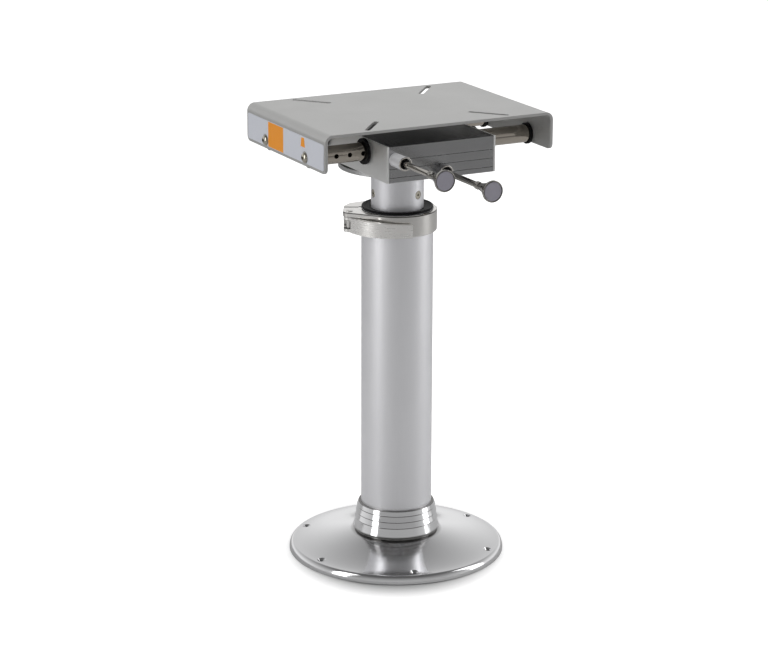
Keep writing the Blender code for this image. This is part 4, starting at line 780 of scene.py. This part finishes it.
for name, x, z, tip, short in (("slide_lock", slide_lock_x, rail_z, 74.0, 0.0),
                               ("swivel_lock", 0.0, swivel_lock_z, 20.5, 15.5)):
    site = {"place": (x, 0, z), "rotation": toward_knobs}
    mouth, rod_collar = boss_mouth - short, collar_at - short
    boss = eased([(7.5, mouth), (9.3, mouth), (9.3, 126.3), (8.2, 126.3), (8.2, 121.5), (7.5, 121.5)], 0.4,
                 closed=True)
    housing = turned(name + "_housing", boss, 72, True, **site)
    dress(housing, boss_grey_shaded if short else boss_alloy)
    fit(housing, "carriage", name + "_housing")
    lip = tube(name + "_ring", 7.5, 9.5, mouth + 0.3, mouth + 2.3, 0.8, 72, **site)
    dress(lip, chrome)
    fit(lip, "carriage", name + "_ring")
    plug = tube(name + "_guide", 4.3, 7.2, mouth - 6.5, mouth - 2.5, 0.3, 48, **site)
    dress(plug, black_plastic)
    fit(plug, "carriage", name + "_guide")
    low, high = [corner[1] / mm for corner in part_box(name + "_spring")]
    spring = put(name + "_spring_wire", coil(name + "_wire", -high, -low), **site)
    dress(spring, plain_steel)
    fit(spring, "carriage", name + "_spring")
    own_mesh(spring)
    stem = eased([(0, 234.0), (4.0, 234.0), (4.0, rod_collar), (6.6, rod_collar), (6.6, rod_collar - 3.0),
                  (4.0, rod_collar - 3.0), (4.0, tip + 8.5), (3.0, tip + 7.5), (3.0, tip + 0.6), (2.4, tip),
                  (0, tip)], 0.3)
    rod = turned(name + "_rod", stem, 48, **site)
    dress(rod, shaded_chrome if short else chrome)
    fit(rod, name, name + "_rod")
    trumpet = eased([(0, knob_end - 1.7), (13.4, knob_end - 1.7), (13.4, knob_end - 0.3), (13.7, knob_end),
                     (14.0, knob_end), (knob_radius, knob_end - 0.5), (knob_radius, knob_end - 3.4)], 0.2)
    for share in [step / 16 for step in range(1, 17)]:
        flare = 4.8 + (knob_radius - 4.8) * (1 - share) ** 1.8
        trumpet.append((flare, knob_end - 3.6 - knob_length * share))
    trumpet += eased([(5.4, 226.4), (5.4, 222.0), (4.3, 222.0), (4.3, 234.3), (0, 234.3)], 0.3)
    knob = turned(name + "_knob", trumpet, 72, **site)
    dress(knob, shaded_chrome)
    fit(knob, name, name + "_knob")
    inlay_profile = eased([(0, knob_end - 0.6), (12.6, knob_end - 0.6), (12.6, knob_end - 1.4),
                           (0, knob_end - 1.4)], 0.3)
    inlay = turned(name + "_inlay", inlay_profile, 72, **site)
    dress(inlay, inlay_grey)
    fit(inlay, name, name + "_inlay")

# The seat plate is one sheet of aluminium, folded down at both ends and finished in a fine
# grey texture. Four diagonal slots take the seat's bolts, and holes in the flanges take the
# rails' screws.
sheet_left, sheet_right, sheet_top, sheet_low, fold_radius = -169.0, 173.0, 638.0, 583.0, 9.0
sheet_depth, sheet_thickness, sheet_middle = 242.0, 4.0, (sheet_left + sheet_right) / 2
slot_near, slot_far, slot_radius = (70.0, 68.0), (108.0, 113.0), 3.8
flange_half, flange_low, flange_corner = 121.0, 588.0, 8.0
quarter = [math.radians(7.5 * step) for step in range(13)]
bend = sheet_top - fold_radius
fold = [(sheet_left, sheet_low)]
fold += [(sheet_left + fold_radius * (1 - math.cos(turn)), bend + fold_radius * math.sin(turn))
         for turn in quarter]
fold += [(sheet_right - fold_radius * (1 - math.sin(turn)), bend + fold_radius * math.cos(turn))
         for turn in quarter]
fold += [(sheet_right, sheet_low)]
mesh = bpy.data.meshes.new("seat_plate")
shape = bmesh.new()
line = [shape.verts.new((x * mm, -sheet_depth / 2 * mm, z * mm)) for x, z in fold]
edges = [shape.edges.new(pair) for pair in zip(line, line[1:])]
sweep = bmesh.ops.extrude_edge_only(shape, edges=edges)
moved = [item for item in sweep["geom"] if isinstance(item, bmesh.types.BMVert)]
bmesh.ops.translate(shape, vec=(0, sheet_depth * mm, 0), verts=moved)
shape.to_mesh(mesh)
shape.free()
plate = put("seat_plate", mesh, (0, 0, 0), (0, 0, 0))
sheet = plate.modifiers.new("sheet", "SOLIDIFY")
sheet.thickness = sheet_thickness * mm
sheet.offset = 0
sheet.use_even_offset = True
corner_y, corner_z = flange_half - flange_corner, flange_low + flange_corner
outline = [(130.0, 660.0), (-130.0, 660.0), (-130.0, corner_z), (-flange_half, corner_z)]
outline += circle(-corner_y, corner_z, flange_corner, 12, math.pi, math.pi / 2)
outline += circle(corner_y, corner_z, flange_corner, 12, -math.pi / 2, math.pi / 2)
outline += [(flange_half, corner_z), (130.0, corner_z)]
carve(plate, [slab("flange_trim", [outline], -180.0, 184.0, rotation=outline_yz)], "INTERSECT")
for side_x, side_y in ((-1, -1), (1, -1), (1, 1), (-1, 1)):
    near = Vector((side_x * slot_near[0] + sheet_middle, side_y * slot_near[1]))
    far = Vector((side_x * slot_far[0] + sheet_middle, side_y * slot_far[1]))
    along = (far - near).normalized()
    angle = math.atan2(along.y, along.x)
    inner, outer = near + along * slot_radius, far - along * slot_radius
    slot = circle(outer.x, outer.y, slot_radius, 14, angle - math.pi / 2, math.pi)
    slot += circle(inner.x, inner.y, slot_radius, 14, angle + math.pi / 2, math.pi)
    carve(plate, [slab("plate_slot", [slot], 625.0, 645.0)])
for y in (-rail_y, rail_y):
    for x in (sheet_left - 2, sheet_right + 2):
        carve(plate, [cylinder("flange_hole", 4.3, x - 10, x + 10, 40, (0, y, rail_z), along_x)])
plate_grey = finish("plate_grey", (0.505, 0.505, 0.497), metallic=0.35, gloss=(0.36, 0.46), grain=drawn,
                    lines=(1300.0, 1300.0, 1300.0), bump=0.03, smudge=0.03, wear_and_highlight=0.25)
dress(plate, plate_grey, 0.5, 3)
fit(plate, "seat", "seat_plate")

# A thin pale plastic panel is glued to the seat plate's left flange, cut round its two screw
# heads. It is plain, with one large and one small field of orange.
panel_outer, panel_inner, field_outer, field_inner = -171.45, -171.05, -171.6, -171.44
panel_outline = rounded_box((-117.0, 592.0), (117.0, 627.5), 3.0, 5)
panel = slab("flange_label", [panel_outline], panel_outer, panel_inner, rotation=outline_yz)
carve(panel, [cylinder("label_gap", 8.6, 160, 180, 48, (0, side * rail_y, rail_z), against_x)
              for side in (-1, 1)])
film = {"metallic": 0.0, "gloss": (0.38, 0.46), "grain": drawn, "lines": (900.0, 900.0, 900.0),
        "bump": 0.004, "smudge": 0.015}
label_film = finish("label_film", (0.72, 0.74, 0.805), **film)
dress(panel, label_film)
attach(panel, "seat")
label_orange = finish("label_orange", (1.0, 0.36, 0.02), **film)
large_field = [(5, 592.6), (52, 592.6), (52, 626.9), (5, 626.9)]
small_field = [(-61.5, 613.0), (-48.5, 613.0), (-51.0, 625.5), (-59.0, 625.5)]
for name, corners in (("label_field_large", large_field), ("label_field_small", small_field)):
    field = slab(name, [corners], field_outer, field_inner, rotation=outline_yz)
    dress(field, label_orange)
    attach(field, "seat")

# The rails are chromed steel tubes that end at black rings against the flanges. The front one
# has a row of locking holes that face the slide lock.
rail_inner, rail_outer, rail_left, rail_right = 10.0, 12.5, -166.7, 170.7
stop_radius, stop_width, lock_hole_spacing = 14.8, 4.0, 20.0
# The rails' chrome is painted darker and warmer: a painted reflection of the dark plate above them
rail_chrome = finish("rail_chrome", (0.44, 0.40, 0.35), metallic=1.0, gloss=(0.05, 0.10), grain=drawn,
                     lines=(30.0, 900.0, 900.0), bump=0.003, smudge=0.03)
for side, y in (("front", -rail_y), ("rear", rail_y)):
    on_rail = {"place": (0, y, rail_z), "rotation": along_x}
    rail = tube(side + "_rail", rail_inner, rail_outer, rail_left, rail_right, 0.4, 72, **on_rail)
    if side == "front":
        for number in range(7):
            place = (slide_lock_x + lock_hole_spacing * (number - 3), y, rail_z)
            carve(rail, [cylinder("lock_hole", 3.3, 0, 20, 32, place, toward_knobs)])
    dress(rail, rail_chrome)
    fit(rail, "seat", side + "_rail")
    for end, low in (("left", rail_left), ("right", rail_right - stop_width)):
        stop = tube("rail_stop_%s_%s" % (side, end), bush_bore, stop_radius, low, low + stop_width, 0.5, 64,
                    **on_rail)
        dress(stop, black_plastic)
        fit(stop, "seat", "rail_stop_%s_%s" % (side, end))

# Button-head socket screws go through the flanges into threaded plugs in the rails' ends, and
# hold the rails to the plate.
head_width, head_height, shank_radius = 7.0, 4.4, 4.0
dome = [(head_width * math.cos(angle), head_height * math.sin(angle))
        for angle in [math.radians(84 - 8 * step) for step in range(11)]]
button = [(0, head_height)] + dome
button += [(head_width, 0.0), (shank_radius, 0.0), (shank_radius, -18.0), (0, -18.0)]
for end, x, turn in (("left", sheet_left - 2.3, against_x), ("right", sheet_right + 2.3, along_x)):
    for side, y in (("front", -rail_y), ("rear", rail_y)):
        screw = turned("rail_screw_%s_%s" % (side, end), button, 48, False, (x, y, rail_z), turn)
        carve(screw, [slab("screw_key", [circle(0, 0, 2.5, 6)], 1.5, 8.8, (x, y, rail_z), turn)])
        dress(screw, screw_steel)
        fit(screw, "seat", "rail_screw_%s_%s" % (side, end))

# What stays from the frame is inside the pedestal, behind its outer pieces: the foot bush, the
# post with its nut and washer, and the threaded plugs.
hidden = {"lower_guide_bush": black_plastic, "thrust_washer": black_plastic, "spindle_nut": plain_steel,
          "spindle_post": plain_steel}
for corner in ("front_left", "front_right", "rear_left", "rear_right"):
    hidden["rail_plug_" + corner] = plain_steel
for name, material in hidden.items():
    solids[name].data.materials.clear()
    solids[name].data.materials.append(material)
